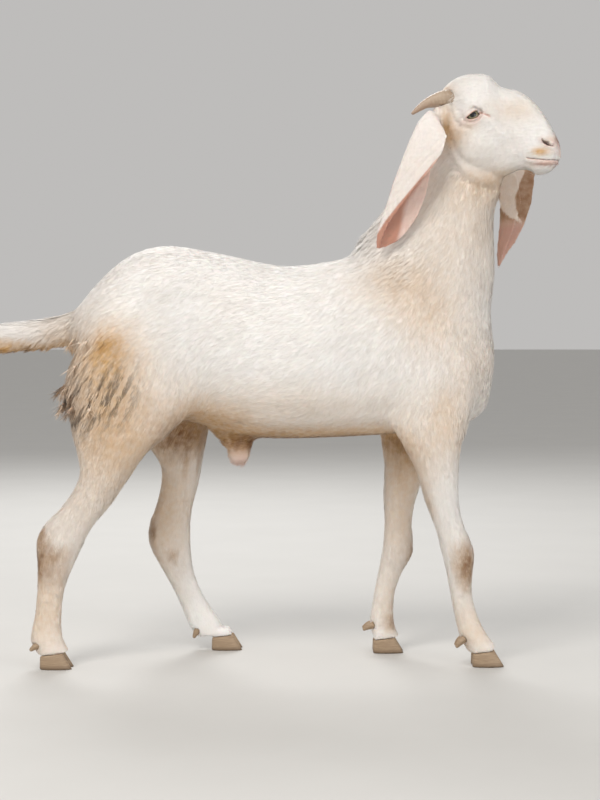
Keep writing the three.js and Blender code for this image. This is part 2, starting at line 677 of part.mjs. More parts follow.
// ---------------------------------------------------------------- horns, ears and eyes
for (const side of [1, -1]) {
  const lift = side > 0 ? leftHornLift : 0;
  const path = hornPath.map(([x, y, z], i) => [x, y * side, z + lift * i * i]);
  fit(side > 0 ? "horn_left" : "horn_right", path, hornRadii, horn, turned);
  const ball = new THREE.SphereGeometry(eyeRadius, 12, 8);
  ball.translate(eyeCentre.x, eyeCentre.y * side, eyeCentre.z);
  const name = side > 0 ? "eye_left" : "eye_right";
  fittings.push({ name, body: onHead(ball), material: eyeball });
}
const ears = [
  { name: "ear_right", stations: rightEar, side: -1, root: [278, -31, 864] },
  { name: "ear_left", stations: leftEar, side: 1, root: [287, 33, 855] },
];
const earRoot = [16, 15, 19]; // half sizes of the swelling each ear grows from
for (const { name, stations, side, root } of ears) {
  flesh.push(solid(new THREE.SphereGeometry(1, 10, 6).scale(...earRoot).translate(...root)));
  flesh.push(solid(ear(stations, side)));
  const [a, b] = [new THREE.Vector3(...stations[1].fold), new THREE.Vector3(...stations[2].fold)];
  const stalk = b.clone().sub(a).normalize();
  const at = a.clone().lerp(b, 0.35).add(new THREE.Vector3(8, 0, -10));
  cuts.push(solid(sheet(at.toArray(), stalk.toArray(), 76, 76)));
  const [x, y, z] = stations[5].fold;
  nodes.push({ name, at: [x + 1.2, y, z], material: innerEar }); // in the leaf at its fold
}

// ---------------------------------------------------------------- locks
// Flat tapered locks of the longer coat, rooted in the flesh and lying along it. They are
// fused with the flesh before it is parted.
let seed = 7;
const random = () => {
  seed = (seed * 16807) % 2147483647;
  return seed / 2147483647;
};
const jitter = (size) => (random() - 0.5) * 2 * size;

const plain = join(flesh);
const body = mesh("body", plain, new THREE.MeshBasicMaterial({ side: THREE.DoubleSide }));
const caster = new THREE.Raycaster();

// The first point of the body met from `from` towards `aim`, and the outward normal there.
function surface(from, aim) {
  caster.set(from, aim.clone().sub(from).normalize());
  const [hit] = caster.intersectObject(body);
  return hit && { point: hit.point, normal: hit.face.normal };
}

// A lock grows from a point of the body along `lie`, bends with it and lifts at its tip.
function lock({ point, normal }, lie, { length, width, lift = 0.12 }) {
  const along = lie.clone().addScaledVector(normal, -lie.dot(normal)).normalize();
  const across = normal.clone().cross(along);
  const stations = [
    { run: -0.1, rise: -5, wide: 0.75, thick: 1 },
    { run: 0.3, rise: 0.5, wide: 1, thick: 1 },
    { run: 0.68, rise: lift * length * 0.4, wide: 0.7, thick: 0.8 },
    { run: 1, rise: lift * length, wide: 0.1, thick: 0.25 },
  ];
  const thick = 2.2;
  const sections = stations.map((s) => {
    const at = point
      .clone()
      .addScaledVector(along, s.run * length)
      .addScaledVector(normal, s.rise);
    const corner = (a, n) =>
      at
        .clone()
        .addScaledVector(across, a * s.wide * width * 0.5)
        .addScaledVector(normal, n * thick * s.thick);
    return [corner(1, -0.4), corner(0, 1), corner(-1, -0.4)];
  });
  return solid(new LoftGeometry(sections, { capStart: true, capEnd: true }));
}

const locks = [];

// Rows of locks: each row is a line of rays given in side view and height or breadth.
function grow(from, aim, lie, shape) {
  const root = surface(new THREE.Vector3(...from), new THREE.Vector3(...aim));
  if (root) locks.push(lock(root, new THREE.Vector3(...lie), shape));
}

// Breeches: long hair down the back of both thighs.
for (const side of [1, -1]) {
  for (let row = 0; row < 5; row += 1) {
    const z = 540 - row * 35 + jitter(5);
    for (let i = 0; i < 4; i += 1) {
      const around = (i + 0.5 * (row % 2)) / 4; // from the rear edge to the outer side
      const turn = around * 1.35 + 0.1;
      const middle = new THREE.Vector3(-215, side * 30, z);
      const from = [middle.x - 200 * Math.cos(turn), middle.y + side * 200 * Math.sin(turn), z];
      const lie = [-0.55 + jitter(0.12), side * 0.1, -1];
      const length = 58 - 16 * around + jitter(6);
      const width = 18 + jitter(2);
      grow(from, middle.toArray(), lie, { length, width, lift: 0.14 + jitter(0.04) });
    }
  }
}

// Tail: a fringe below it and a brush at its end.
for (let i = 0; i < 7; i += 1) {
  for (const side of [1, -1]) {
    const x = -328 - i * 17;
    const aim = [x, 0, 524];
    grow([x + 10, side * 60, 430], aim, [-1, side * 0.15, -0.45 + jitter(0.15)], {
      length: 38 + jitter(5),
      width: 13,
      lift: 0.3,
    });
  }
}
for (let i = 0; i < 7; i += 1) {
  const turn = (i / 7) * 2 * Math.PI;
  const from = [-425, Math.cos(turn) * 80, 516 + Math.sin(turn) * 80];
  grow(from, [-425, 0, 516], [-1, 0, jitter(0.15)], {
    length: 44 + jitter(5),
    width: 12,
    lift: -0.05,
  });
}

// Nape and withers: a short ruff that stands a little from the back of the neck.
for (let i = 0; i < 9; i += 1) {
  const side = i % 2 ? 1 : -1;
  const x = 128 + i * 9;
  const z = 664 + i * 12.5;
  const from = [x - 90, side * (14 + jitter(5)), z + 90];
  grow(from, [x + 30, side * 6, z - 30], [-0.8, side * 0.2, -0.55], {
    length: 30 + jitter(5),
    width: 13,
    lift: 0.25,
  });
}

// Small tufts at the brisket and the tip of the sheath.
for (const side of [1, -1]) {
  const brisket = { length: 26, width: 12, lift: 0.18 };
  grow([450, side * 14, 430], [320, side * 10, 420], [-0.3, 0, -1], brisket);
  grow([450, side * 26, 455], [320, side * 20, 440], [-0.3, 0, -1], brisket);
  const sheathTip = { length: 22, width: 7, lift: 0.1 };
  grow([30, side * 6, 325], [-43, 0, 322], [-0.1, side * 0.1, -1], sheathTip);
}

flesh.length = 0;
flesh.push(plain, ...locks);

// ---------------------------------------------------------------- partings of the body
// Neck from trunk: a flat sheet from the withers to the front of the chest.
const withers = new THREE.Vector2(136, 672);
const chest = new THREE.Vector2(368, 546);
const base = withers.clone().lerp(chest, 0.5);
const slopeOfBase = chest.clone().sub(withers).normalize();
const acrossNeck = [-slopeOfBase.y, 0, slopeOfBase.x];
cuts.push(solid(sheet([base.x, 0, base.y], acrossNeck, 300, 240)));
// Head from neck: a curved sheet behind the poll and under the jaw.
const behindJaw = [
  [262, 930],
  [280, 882],
  [291, 840],
  [302, 804],
  [318, 775],
  [338, 760],
  [368, 756],
  [402, 763],
].map(([x, z]) => new THREE.Vector3(x, z, 0));
const jawLine = new THREE.CatmullRomCurve3(behindJaw).getPoints(10).map((p) => [p.x, p.y]);
cuts.push(solid(bend(slit(jawLine, parting, -75, 75), turned)));
// Legs from trunk: level sheets just under the brisket and the groin.
cuts.push(solid(sheet([250, 0, 345], [0, 0, 1], 210, 240)));
cuts.push(solid(sheet([-190, 0, 366], [0, 0, 1], 290, 240)));

nodes.push(
  { name: "torso", at: [0, 0, 500], material: coat },
  { name: "neck", at: [285, 0, 700], material: coat },
  { name: "head", at: [330, -4, 830], material: coat },
  { name: "tail", at: [-370, 0, 525], material: coat },
  { name: "sheath", at: [-43, 0, 330], material: skin },
  { name: "scrotum", at: [-240, 0, 330], material: skin },
);

// ---------------------------------------------------------------- the goat
const whole = join(flesh);
const pieces = whole.subtract(join(cuts)).decompose();
const goat = new THREE.Group();
for (const { name, at, material } of nodes) {
  const marker = solid(new THREE.BoxGeometry(1, 1, 1).translate(...at));
  const found = pieces.filter((piece) => piece.intersect(marker).volume() > 0);
  if (found.length !== 1) throw new Error(`${name}: ${found.length} pieces at its marker`);
  goat.add(mesh(name, found[0], material));
}
for (const { name, body, material } of fittings) goat.add(mesh(name, body, material));

export default goat;
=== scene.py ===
# A young long-eared buck goat at life size, for Blender 4.5. Metres, +X towards the nose,
# +Y to the animal's left, +Z up, the soles on Z = 0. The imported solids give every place.
import math

import bmesh
import bpy
import numpy as np
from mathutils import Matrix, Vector
from mathutils.bvhtree import BVHTree


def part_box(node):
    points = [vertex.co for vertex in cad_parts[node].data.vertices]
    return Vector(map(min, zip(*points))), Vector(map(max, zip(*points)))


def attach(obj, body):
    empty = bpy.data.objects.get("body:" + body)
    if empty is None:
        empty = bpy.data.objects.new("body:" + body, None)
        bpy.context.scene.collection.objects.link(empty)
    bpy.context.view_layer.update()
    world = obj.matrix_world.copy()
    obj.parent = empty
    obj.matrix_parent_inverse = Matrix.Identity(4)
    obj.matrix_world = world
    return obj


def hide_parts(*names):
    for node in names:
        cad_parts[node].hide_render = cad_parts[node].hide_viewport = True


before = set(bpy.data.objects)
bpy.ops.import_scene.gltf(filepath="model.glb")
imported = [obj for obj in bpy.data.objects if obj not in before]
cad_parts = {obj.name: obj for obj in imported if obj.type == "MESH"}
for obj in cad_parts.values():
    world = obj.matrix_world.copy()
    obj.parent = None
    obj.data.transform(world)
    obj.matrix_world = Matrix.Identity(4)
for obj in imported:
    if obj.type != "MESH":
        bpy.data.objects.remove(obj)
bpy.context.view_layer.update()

MM = 0.001

# ------------------------------------------------------------------ skin: the closed hide
# The skin is one closed hide over trunk, neck, head, ears, tail and limbs. It is grown from
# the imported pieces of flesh, closed over the partings between them and evened out, and it lies
# under the coat's tips by the depth of the coat.
flesh = [n for n in sorted(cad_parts) if "claw" not in n and "horn" not in n]
grain = 2 * MM  # spacing of the skin's points before the broad flanks are thinned out
ear_plump = 1.1  # mm that the thin ears are thickened by each side while the skin is grown

# How often each region is evened out, and how far under the coat's tips its skin lies, mm.
evening = {
    "torso": 110, "neck": 90, "tail": 60, "head": 8, "eye": 8, "ear": 16, "gaskin": 36,
    "forearm": 36, "cannon": 14, "pastern": 9, "sheath": 12, "scrotum": 12,
}
depth = {
    "torso": 2.2, "neck": 2.2, "tail": 1.6, "head": 0.8, "eye": 0, "ear": ear_plump - 0.2,
    "gaskin": 1.4, "forearm": 1.2, "cannon": 0.7, "pastern": 0.4, "sheath": 0.6, "scrotum": 0.6,
}


def region(name):
    """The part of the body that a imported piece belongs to, without side or end."""
    for word in ("cannon", "pastern", "gaskin", "forearm", "ear", "eye"):
        if word in name.split("_"):
            return word
    return name


def piece(name, mesh):
    made = bpy.data.objects.new(name, mesh)
    bpy.context.scene.collection.objects.link(made)
    return made


def settled(thing):
    """The mesh of an object with its modifiers carried out."""
    graph = bpy.context.evaluated_depsgraph_get()
    return bpy.data.meshes.new_from_object(thing.evaluated_get(graph))


def regrown(nodes, spacing, plump=0.0):
    """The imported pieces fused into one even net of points, with the ears made plump."""
    whole = bmesh.new()
    for name in nodes:
        part = bmesh.new()
        part.from_mesh(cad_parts[name].data)
        bmesh.ops.remove_doubles(part, verts=part.verts, dist=1e-6)
        if region(name) == "ear":
            part.normal_update()
            for v in part.verts:
                v.co += v.normal * plump * MM
        closed = bpy.data.meshes.new(name)
        part.to_mesh(closed)
        part.free()
        whole.from_mesh(closed)
        bpy.data.meshes.remove(closed)
    mesh = bpy.data.meshes.new("fused")
    whole.to_mesh(mesh)
    whole.free()
    thing = piece("fused", mesh)
    fuse = thing.modifiers.new("fuse", "REMESH")
    fuse.mode = "VOXEL"
    fuse.voxel_size = spacing
    mesh = settled(thing)
    bpy.data.objects.remove(thing)
    return mesh


def points_of(mesh):
    flat = np.empty(len(mesh.vertices) * 3, np.float32)
    mesh.vertices.foreach_get("co", flat)
    return flat.reshape(-1, 3).astype(float)


def normals_of(mesh):
    flat = np.empty(len(mesh.vertices) * 3, np.float32)
    mesh.vertex_normals.foreach_get("vector", flat)
    return flat.reshape(-1, 3).astype(float)


def place_points(mesh, points):
    mesh.vertices.foreach_set("co", points.astype(np.float32).ravel())
    mesh.update()


def raise_points(mesh, height):
    """Moves each point out along the surface's normal by a height in mm."""
    place_points(mesh, points_of(mesh) + normals_of(mesh) * height[:, None] * MM)


def relaxed(mesh, values, rounds, back=None):
    """Each point's value drawn towards its neighbours' for its number of rounds, and, where
    back is given, pushed out again by that share, which keeps thin parts from shrinking."""
    flat = np.empty(len(mesh.edges) * 2, np.int32)
    mesh.edges.foreach_get("vertices", flat)
    one, other = flat.reshape(-1, 2).T
    here, there = np.r_[one, other], np.r_[other, one]
    count = len(values)
    degree = np.maximum(np.bincount(here, minlength=count), 1)
    values = values.reshape(count, -1).copy()
    for passed in range(int(np.ceil(rounds.max()))):
        share = 0.5 * np.clip(rounds - passed, 0, 1)
        for push in (share, None if back is None else -back * share):
            if push is None:
                continue
            for k in range(values.shape[1]):
                mean = np.bincount(here, values[there, k], count) / degree
                values[:, k] += push * (mean - values[:, k])
    return values


skin_mesh = regrown(flesh, grain, ear_plump)
corners, faces, owners = [], [], []
for name in flesh:
    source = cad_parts[name].data
    faces += [[len(corners) + i for i in p.vertices] for p in source.polygons]
    owners += [region(name)] * len(source.polygons)
    corners += [v.co.copy() for v in source.vertices]
solids = BVHTree.FromPolygons(corners, faces)


def regions_at(points):
    """The region whose solid lies nearest to each point."""
    return np.array([owners[solids.find_nearest(Vector(p))[2]] for p in points])


# The parting of head and neck is melted further, most of all low under the jaw.
melting = (240, 560)  # rounds everywhere along it, and more of them below the ears
where = regions_at(points_of(skin_mesh))
rounds = relaxed(skin_mesh, np.array([evening[w] for w in where], float), np.full(len(where), 12))
throat = relaxed(skin_mesh, (where == "head").astype(float), np.full(len(where), 30))
low = np.interp(points_of(skin_mesh)[:, 2], [0.785, 0.815], [1, 0])[:, None]
rounds += (melting[0] + melting[1] * low) * throat * (1 - throat)
thin = relaxed(skin_mesh, (where == "ear").astype(float), np.full(len(where), 6))
kept = relaxed(skin_mesh, points_of(skin_mesh), rounds.ravel(), back=1.04 * thin.ravel())
place_points(skin_mesh, kept)
sink = relaxed(skin_mesh, np.array([depth[w] for w in where], float), np.full(len(where), 8))
raise_points(skin_mesh, -sink.ravel())

# ------------------------------------------------------------------ skin: bone and muscle
# Bone and muscle lift the hide in low, soft forms: hip, stifle, flank fold, shoulder blade,
# point of the shoulder, elbow, jugular groove. Place and reach are in mm on the right side,
# and the last number is how far the form stands out, or lies in where it is below nought.
body_forms = [
    ((-152, 72, 600), (24, 34, 26), 4.5),  # hip bone
    ((-98, 78, 585), (36, 40, 36), -4.0),  # hollow of the flank
    ((-185, 70, 560), (26, 40, 44), -2.0),  # between hip and thigh
    ((-235, 90, 455), (46, 40, 60), 2.5),  # thigh
    ((-158, 88, 400), (24, 40, 34), 3.0),  # stifle
    ((-112, 78, 425), (13, 40, 46), 2.6),  # fold from flank to stifle
    ((-84, 74, 430), (14, 40, 46), -2.2),
    ((-58, 66, 392), (17, 30, 3.2), 2.4),  # fold at the navel
    ((-58, 66, 385), (20, 30, 4.5), -2.2),
    ((232, 76, 560), (11, 40, 66), 2.4),  # spine of the shoulder blade
    ((262, 70, 575), (13, 40, 62), -2.4),
    ((150, 86, 470), (26, 40, 74), -3.2),  # behind the shoulder
    ((214, 88, 440), (38, 40, 44), 3.0),  # muscle over the elbow
    ((192, 84, 388), (15, 30, 15), 3.4),  # elbow
    ((316, 60, 468), (20, 40, 26), 4.0),  # point of the shoulder
    ((284, 78, 420), (22, 40, 30), -2.4),
    ((338, 38, 640), (11, 34, 90), -2.6),  # jugular groove
    ((300, 50, 660), (20, 40, 80), 1.8),
    ((-40, 95, 520), (26, 40, 70), 1.2),  # last ribs
    ((60, 96, 500), (30, 40, 80), 1.4),
    ((208, 84, 566), (9, 40, 16), -1.4),  # groove from the withers to the point of the shoulder
    ((226, 84, 542), (9, 40, 16), -1.6),
    ((245, 84, 517), (9, 40, 16), -1.6),
    ((264, 80, 493), (9, 40, 16), -1.4),
    ((280, 70, 640), (9, 40, 26), -1.2),  # folds down the side of the neck
    ((298, 66, 600), (9, 40, 26), -1.3),
    ((318, 60, 560), (9, 40, 26), -1.2),
    ((250, 60, 690), (9, 40, 26), -1.0),
]


def swell(points, forms):
    """How far each point is raised, in mm, by forms given on the right side."""
    total = np.zeros(len(points))
    for place, reach, height in forms:
        for side in (-1, 1):
            off = (points / MM - np.array(place) * (1, side, 1)) / np.array(reach)
            total += height * np.exp(-(off**2).sum(1))
    return total


raise_points(skin_mesh, swell(points_of(skin_mesh), body_forms))

# The broad parts are thinned out, and the head and ears keep every point.
skin = piece("skin", skin_mesh)
broad = skin.vertex_groups.new(name="broad")
for word in ("torso", "neck", "tail", "gaskin", "forearm", "cannon"):
    broad.add(np.nonzero(where == word)[0].tolist(), 1.0, "REPLACE")
thinning = skin.modifiers.new("thinning", "DECIMATE")
thinning.vertex_group = "broad"
thinning.ratio = 0.19  # the share of the broad parts' faces that stays
skin_mesh = settled(skin)
bpy.data.objects.remove(skin)

# ------------------------------------------------------------------ skin: the face
# The head is finely modelled skin over bone: lids that part over the eyes, a tear groove, the
# crest of the cheek, nostrils with a raised wing, and the line of the mouth. The face is laid
# out in the head's own frame, mm: u to the nose, v to the left, z up, symmetric about v = 0.
head_turn = math.radians(-14)
head_pivot = np.array([302, 0, 0])
to_world = np.array(
    [
        [math.cos(head_turn), -math.sin(head_turn), 0],
        [math.sin(head_turn), math.cos(head_turn), 0],
        [0, 0, 1],
    ]
)


def head_places(points):
    """Places in the head's frame, mm, of points in the goat's, metres."""
    return (points / MM - head_pivot) @ to_world


def world_places(places):
    """The points in the goat's frame of places in the head's."""
    return (places @ to_world.T + head_pivot) * MM


eyes = {}
eye_set = np.array([-6.6, 0, -5])  # the ball sits this much further back and down in its socket
for side, name in ((-1, "eye_right"), (1, "eye_left")):
    low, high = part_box(name)
    eyes[side] = head_places(np.array((low + high) / 2)[None])[0] + eye_set
eyeball_radius = 15.0
lid_radius = 16.1  # from the eye's centre to the lid's outer face at the opening
lid_tilt = math.radians(21)
half_opening = 10.9  # from the opening's middle to either corner of the eye
opening_shift = 0.2  # of that middle towards the nose


def eye_axes(side):
    """Towards the nose, up, and out of the eye, as the rows of a turn from the head's frame."""
    out_of = np.array([0.22, side * 0.97, 0.06])
    out_of /= np.linalg.norm(out_of)
    forward = side * np.array([out_of[1], -out_of[0], 0])
    forward /= np.linalg.norm(forward)
    up = np.array([0, 0, 1]) - out_of[2] * out_of
    return np.array([forward, up / np.linalg.norm(up), out_of])


def opening(s):
    """The lids' edges at a share s of half the opening, from the outer corner to the inner."""
    bow = np.clip(1 - s**2, 0, 1) ** 0.5
    return bow * (3.8 + 3.0 * s), -bow * 6.3


def about_eye(places, side):
    """Along the opening, across it, out of the eye, and outside the lids' edge, in mm."""
    local = (places - eyes[side]) @ eye_axes(side).T
    p, q = local[:, 0] - opening_shift, local[:, 1]
    along = p * math.cos(lid_tilt) + q * math.sin(lid_tilt)
    across = q * math.cos(lid_tilt) - p * math.sin(lid_tilt)
    top, bottom = opening(along / half_opening)
    edge = np.maximum(across - top, bottom - across)
    past = np.hypot(np.abs(along) - half_opening, across)
    edge = np.where(np.abs(along) < half_opening, edge, past)
    return along, across, local[:, 2], edge


def from_line(places, line):
    """How far places lie from a bent line drawn on the head's side, in mm."""
    flat = places[:, [0, 2]]
    nearest = np.full(len(flat), 1e9)
    for start, end in zip(line[:-1], line[1:]):
        start, end = np.array(start, float), np.array(end, float)
        share = ((flat - start) @ (end - start) / ((end - start) ** 2).sum()).clip(0, 1)
        nearest = np.minimum(nearest, np.linalg.norm(flat - start - share[:, None] * (end - start), axis=1))
    return nearest


def ridge(distance, at, width, height):
    """A rounded ridge of a width and height, where the distance from a line is what at says."""
    return height * np.exp(-(((distance - at) / width) ** 2))


def step(low, high, values):
    """0 below low and 1 above high, with a smooth rise between."""
    share = ((values - low) / (high - low)).clip(0, 1)
    return share * share * (3 - 2 * share)


# Lines on the head's side, as u and z: the groove for tears, the crest of the cheek, the rim of
# the orbit, wrinkles before the ear with the slit under its root, the nostril, jaw and mouth.
tear_line = [(43.5, 867.4), (50.5, 866), (60, 861.5)]
crest_line = [(62, 862), (75, 854), (84, 843), (92, 828), (94, 817)]
orbit_line = [(-1, 892), (0, 876), (5, 858), (18, 847), (30, 844)]
ear_wrinkles = [
    [(-7, 864), (-5, 850), (-9, 834)], [(-12, 858), (-10, 842)], [(-18, 806), (-10, 810), (-3, 814)],
]
nostril_line = [(140, 825), (142, 821), (147, 817.6), (152.5, 816), (156.5, 815.5)]
jaw_u = [-5, 9, 25, 45, 62, 81, 101, 114]
jaw_z = [800, 787, 771, 760, 758, 762, 771, 780]
mouth_u = [110, 114, 122, 130, 147, 160, 168]
mouth_z = [799.6, 798.4, 796.3, 795.4, 793.4, 794, 794.4]

# Closing the partings leaves crumbs of net inside the flesh. Each group of points that hangs
# together but is too small to be the hide is taken out.
crumb_points = 2000
face = bmesh.new()
face.from_mesh(skin_mesh)
crumbs, seen = [], set()
for start in face.verts:
    if start not in seen:
        group, border = {start}, [start]
        while border:
            v = border.pop()
            fresh = {e.other_vert(v) for e in v.link_edges} - group
            group |= fresh
            border += fresh
        seen |= group
        if len(group) < crumb_points:
            crumbs += group
bmesh.ops.delete(face, geom=crumbs, context="VERTS")
face.verts.index_update()

# The net is made finer over the muzzle, about the eyes, and once more at the lids.
for zone in ("muzzle", "eyes", "lids"):
    places = head_places(np.array([v.co for v in face.verts]))
    if zone == "muzzle":
        inside = (places[:, 0] > 106) & (places[:, 2] > 765) & (np.abs(places[:, 1]) < 60)
    else:
        reach = 10 if zone == "eyes" else 5  # mm outside the edge of the lids
        inside = np.zeros(len(places), bool)
        for side in eyes:
            along, across, out_of, edge = about_eye(places, side)
            inside |= (edge < reach) & (out_of > 0) & (out_of < 30)
    face.verts.ensure_lookup_table()
    chosen = set(np.nonzero(inside)[0].tolist())
    edges = [e for e in face.edges if e.verts[0].index in chosen and e.verts[1].index in chosen]
    bmesh.ops.subdivide_edges(face, edges=edges, cuts=1, use_grid_fill=True, smooth=0)
    face.verts.index_update()
face.to_mesh(skin_mesh)
face.free()

# Each line raises or sinks the hide by ridges: how far off the line they run, how wide they
# are and how high, in mm. `flank` keeps a line to the head's sides.
places = head_places(points_of(skin_mesh))
on_head = step(728, 748, places[:, 2]) * step(-26, -16, places[:, 0]) * (np.abs(places[:, 1]) < 62)
flank = np.abs(places[:, 1])
height = np.zeros(len(places))
tear = from_line(places, tear_line)
height -= ridge(tear, 0, 1.2, 1.5) * (flank > 25)
crest = from_line(places, crest_line)
height += (ridge(crest, 7, 8, 1.0) - ridge(crest, -2, 8, 1.5)) * (flank > 15)
orbit = from_line(places, orbit_line)
height -= ridge(orbit, 0, 2.6, 1.8) * (flank > 15)
for wrinkle in ear_wrinkles:
    height -= ridge(from_line(places, wrinkle), 0, 1.3, 1.2) * (flank > 15)
nostril = from_line(places, nostril_line)
beside = step(5, 9, flank)
height += (ridge(nostril, 3.8, 1.9, 0.9) - ridge(nostril, 0, 0.85, 3.4)) * beside
mouth = places[:, 2] - np.interp(places[:, 0], mouth_u, mouth_z)
lips = step(112, 120, places[:, 0])
height += (ridge(mouth, 3.0, 2.2, 0.5) - ridge(mouth, 0, 0.8, 2.0)) * lips
height += (ridge(mouth, -4.0, 2.6, 1.0) - ridge(mouth, -10, 2.6, 0.8)) * lips
jaw = places[:, 2] - np.interp(places[:, 0], jaw_u, jaw_z)
jaw_share = step(-8, 12, places[:, 0]) * (1 - step(100, 122, places[:, 0])) * step(12, 24, flank)
height += (ridge(jaw, 8, 9, 1.4) - ridge(jaw, -7, 7, 2.6)) * jaw_share
cleft = ridge(places[:, 1], 0, 1.1, 1.3) * step(152, 156, places[:, 0])
height -= cleft * step(796, 799, places[:, 2]) * (1 - step(812, 822, places[:, 2]))
for side in eyes:
    along, across, out_of, edge = about_eye(places, side)
    near = (out_of > 0) & (out_of < 34)
    above = step(-1, 2, across)
    fold = (ridge(edge, 5.4, 1.4, -1.3) + ridge(edge, 8.8, 2.6, 0.9)) * above
    fold += (ridge(edge, 4.6, 1.1, -0.9) + ridge(edge, 7.4, 2.0, 0.4)) * (1 - above)
    height += np.where(near & (np.abs(along) < 22), fold * (1 - 0.5 * step(10, 16, np.abs(along))), 0)
on_head *= np.interp(places[:, 2], [795, 815, 835], [0, 0.8, 1]) * (places[:, 0] < 0) + (places[:, 0] >= 0)
raise_points(skin_mesh, height * on_head)

# The lids are drawn to a ball about the eye, and the hide round them is kept clear of it.
clear_of_eye = 1.1  # mm
places = head_places(points_of(skin_mesh))
for side in eyes:
    along, across, out_of, edge = about_eye(places, side)
    local = (places - eyes[side]) @ eye_axes(side).T
    near = (out_of > 0) & (edge < 8)
    reach = np.clip(lid_radius**2 - local[:, 0] ** 2 - local[:, 1] ** 2, 30, None)
    wanted = np.sqrt(reach) + ridge(edge, 1.6, 1.3, 0.7)
    share = (1 - step(1.2, 7.5, edge)) * near
    places += ((wanted - out_of) * share)[:, None] * eye_axes(side)[2]
    local = (places - eyes[side]) @ eye_axes(side).T
    over = (eyeball_radius + clear_of_eye) ** 2 - local[:, 0] ** 2 - local[:, 1] ** 2
    lift = np.sqrt(np.clip(over, 0, None)) - local[:, 2]
    places += (np.clip(lift, 0, 6) * (over > 0) * (out_of > 0) * (edge < 20))[:, None] * eye_axes(side)[2]
place_points(skin_mesh, world_places(places))

# The lids are parted: the hide inside the opening is taken out, its border is drawn to the
# edge of the lid and turned in to the eyeball as a moist rim.
face = bmesh.new()
face.from_mesh(skin_mesh)
face.verts.ensure_lookup_table()
for side in eyes:
    places = head_places(np.array([v.co for v in face.verts]))
    along, across, out_of, edge = about_eye(places, side)
    inner = set(np.nonzero((edge < 0.05) & (out_of > 0) & (out_of < 30))[0].tolist())
    bmesh.ops.delete(face, geom=[v for v in face.verts if v.index in inner], context="VERTS")
    face.verts.index_update()
    face.verts.ensure_lookup_table()
for side in eyes:
    axes = eye_axes(side)

    def lid_place(along, across, radius):
        """A place on a sphere about the eye, from places along and across the opening."""
        p = along * math.cos(lid_tilt) - across * math.sin(lid_tilt) + opening_shift
        q = along * math.sin(lid_tilt) + across * math.cos(lid_tilt)
        out_of = math.sqrt(max(radius**2 - p * p - q * q, 9))
        return eyes[side] + p * axes[0] + q * axes[1] + out_of * axes[2]

    border = [e for e in face.edges if e.is_boundary]
    border = [
        e for e in border
        if np.linalg.norm(head_places(np.array(e.verts[0].co)[None])[0] - eyes[side]) < 26
    ]
    rim = {v for e in border for v in e.verts}
    for v in rim:
        a, c, _, _ = (float(x[0]) for x in about_eye(head_places(np.array(v.co)[None]), side))
        a = max(-half_opening, min(half_opening, a))
        top, bottom = opening(np.array([a / half_opening]))
        c = float(top[0]) if c > (top[0] + bottom[0]) / 2 else float(bottom[0])
        v.co = Vector(world_places(lid_place(a, c, lid_radius + 0.2)[None])[0])
    for radius, shrink in ((lid_radius - 0.5, 0.965), (eyeball_radius - 0.7, 0.94)):
        grown = bmesh.ops.extrude_edge_only(face, edges=border)["geom"]
        border = [g for g in grown if isinstance(g, bmesh.types.BMEdge)]
        for g in grown:
            if isinstance(g, bmesh.types.BMFace):
                g.material_index = 1
        for v in {v for e in border for v in e.verts}:
            a, c, _, _ = (float(x[0]) for x in about_eye(head_places(np.array(v.co)[None]), side))
            v.co = Vector(world_places(lid_place(a * shrink, c * shrink, radius)[None])[0])
bmesh.ops.recalc_face_normals(face, faces=face.faces)

# The operators may give the faces in another order each run, so they are put in order here.
face.verts.index_update()
shapes = {}
for f in face.faces:
    around = [v.index for v in f.verts]
    first = around.index(min(around))
    shapes[tuple(around[first:] + around[:first])] = f.material_index
ordered = sorted(shapes)
spots = [v.co.copy() for v in face.verts]
face.free()
skin_mesh.clear_geometry()
skin_mesh.from_pydata(spots, [], ordered)
skin_mesh.polygons.foreach_set("material_index", [shapes[shape] for shape in ordered])
skin = piece("skin", skin_mesh)
skin_mesh.shade_smooth()

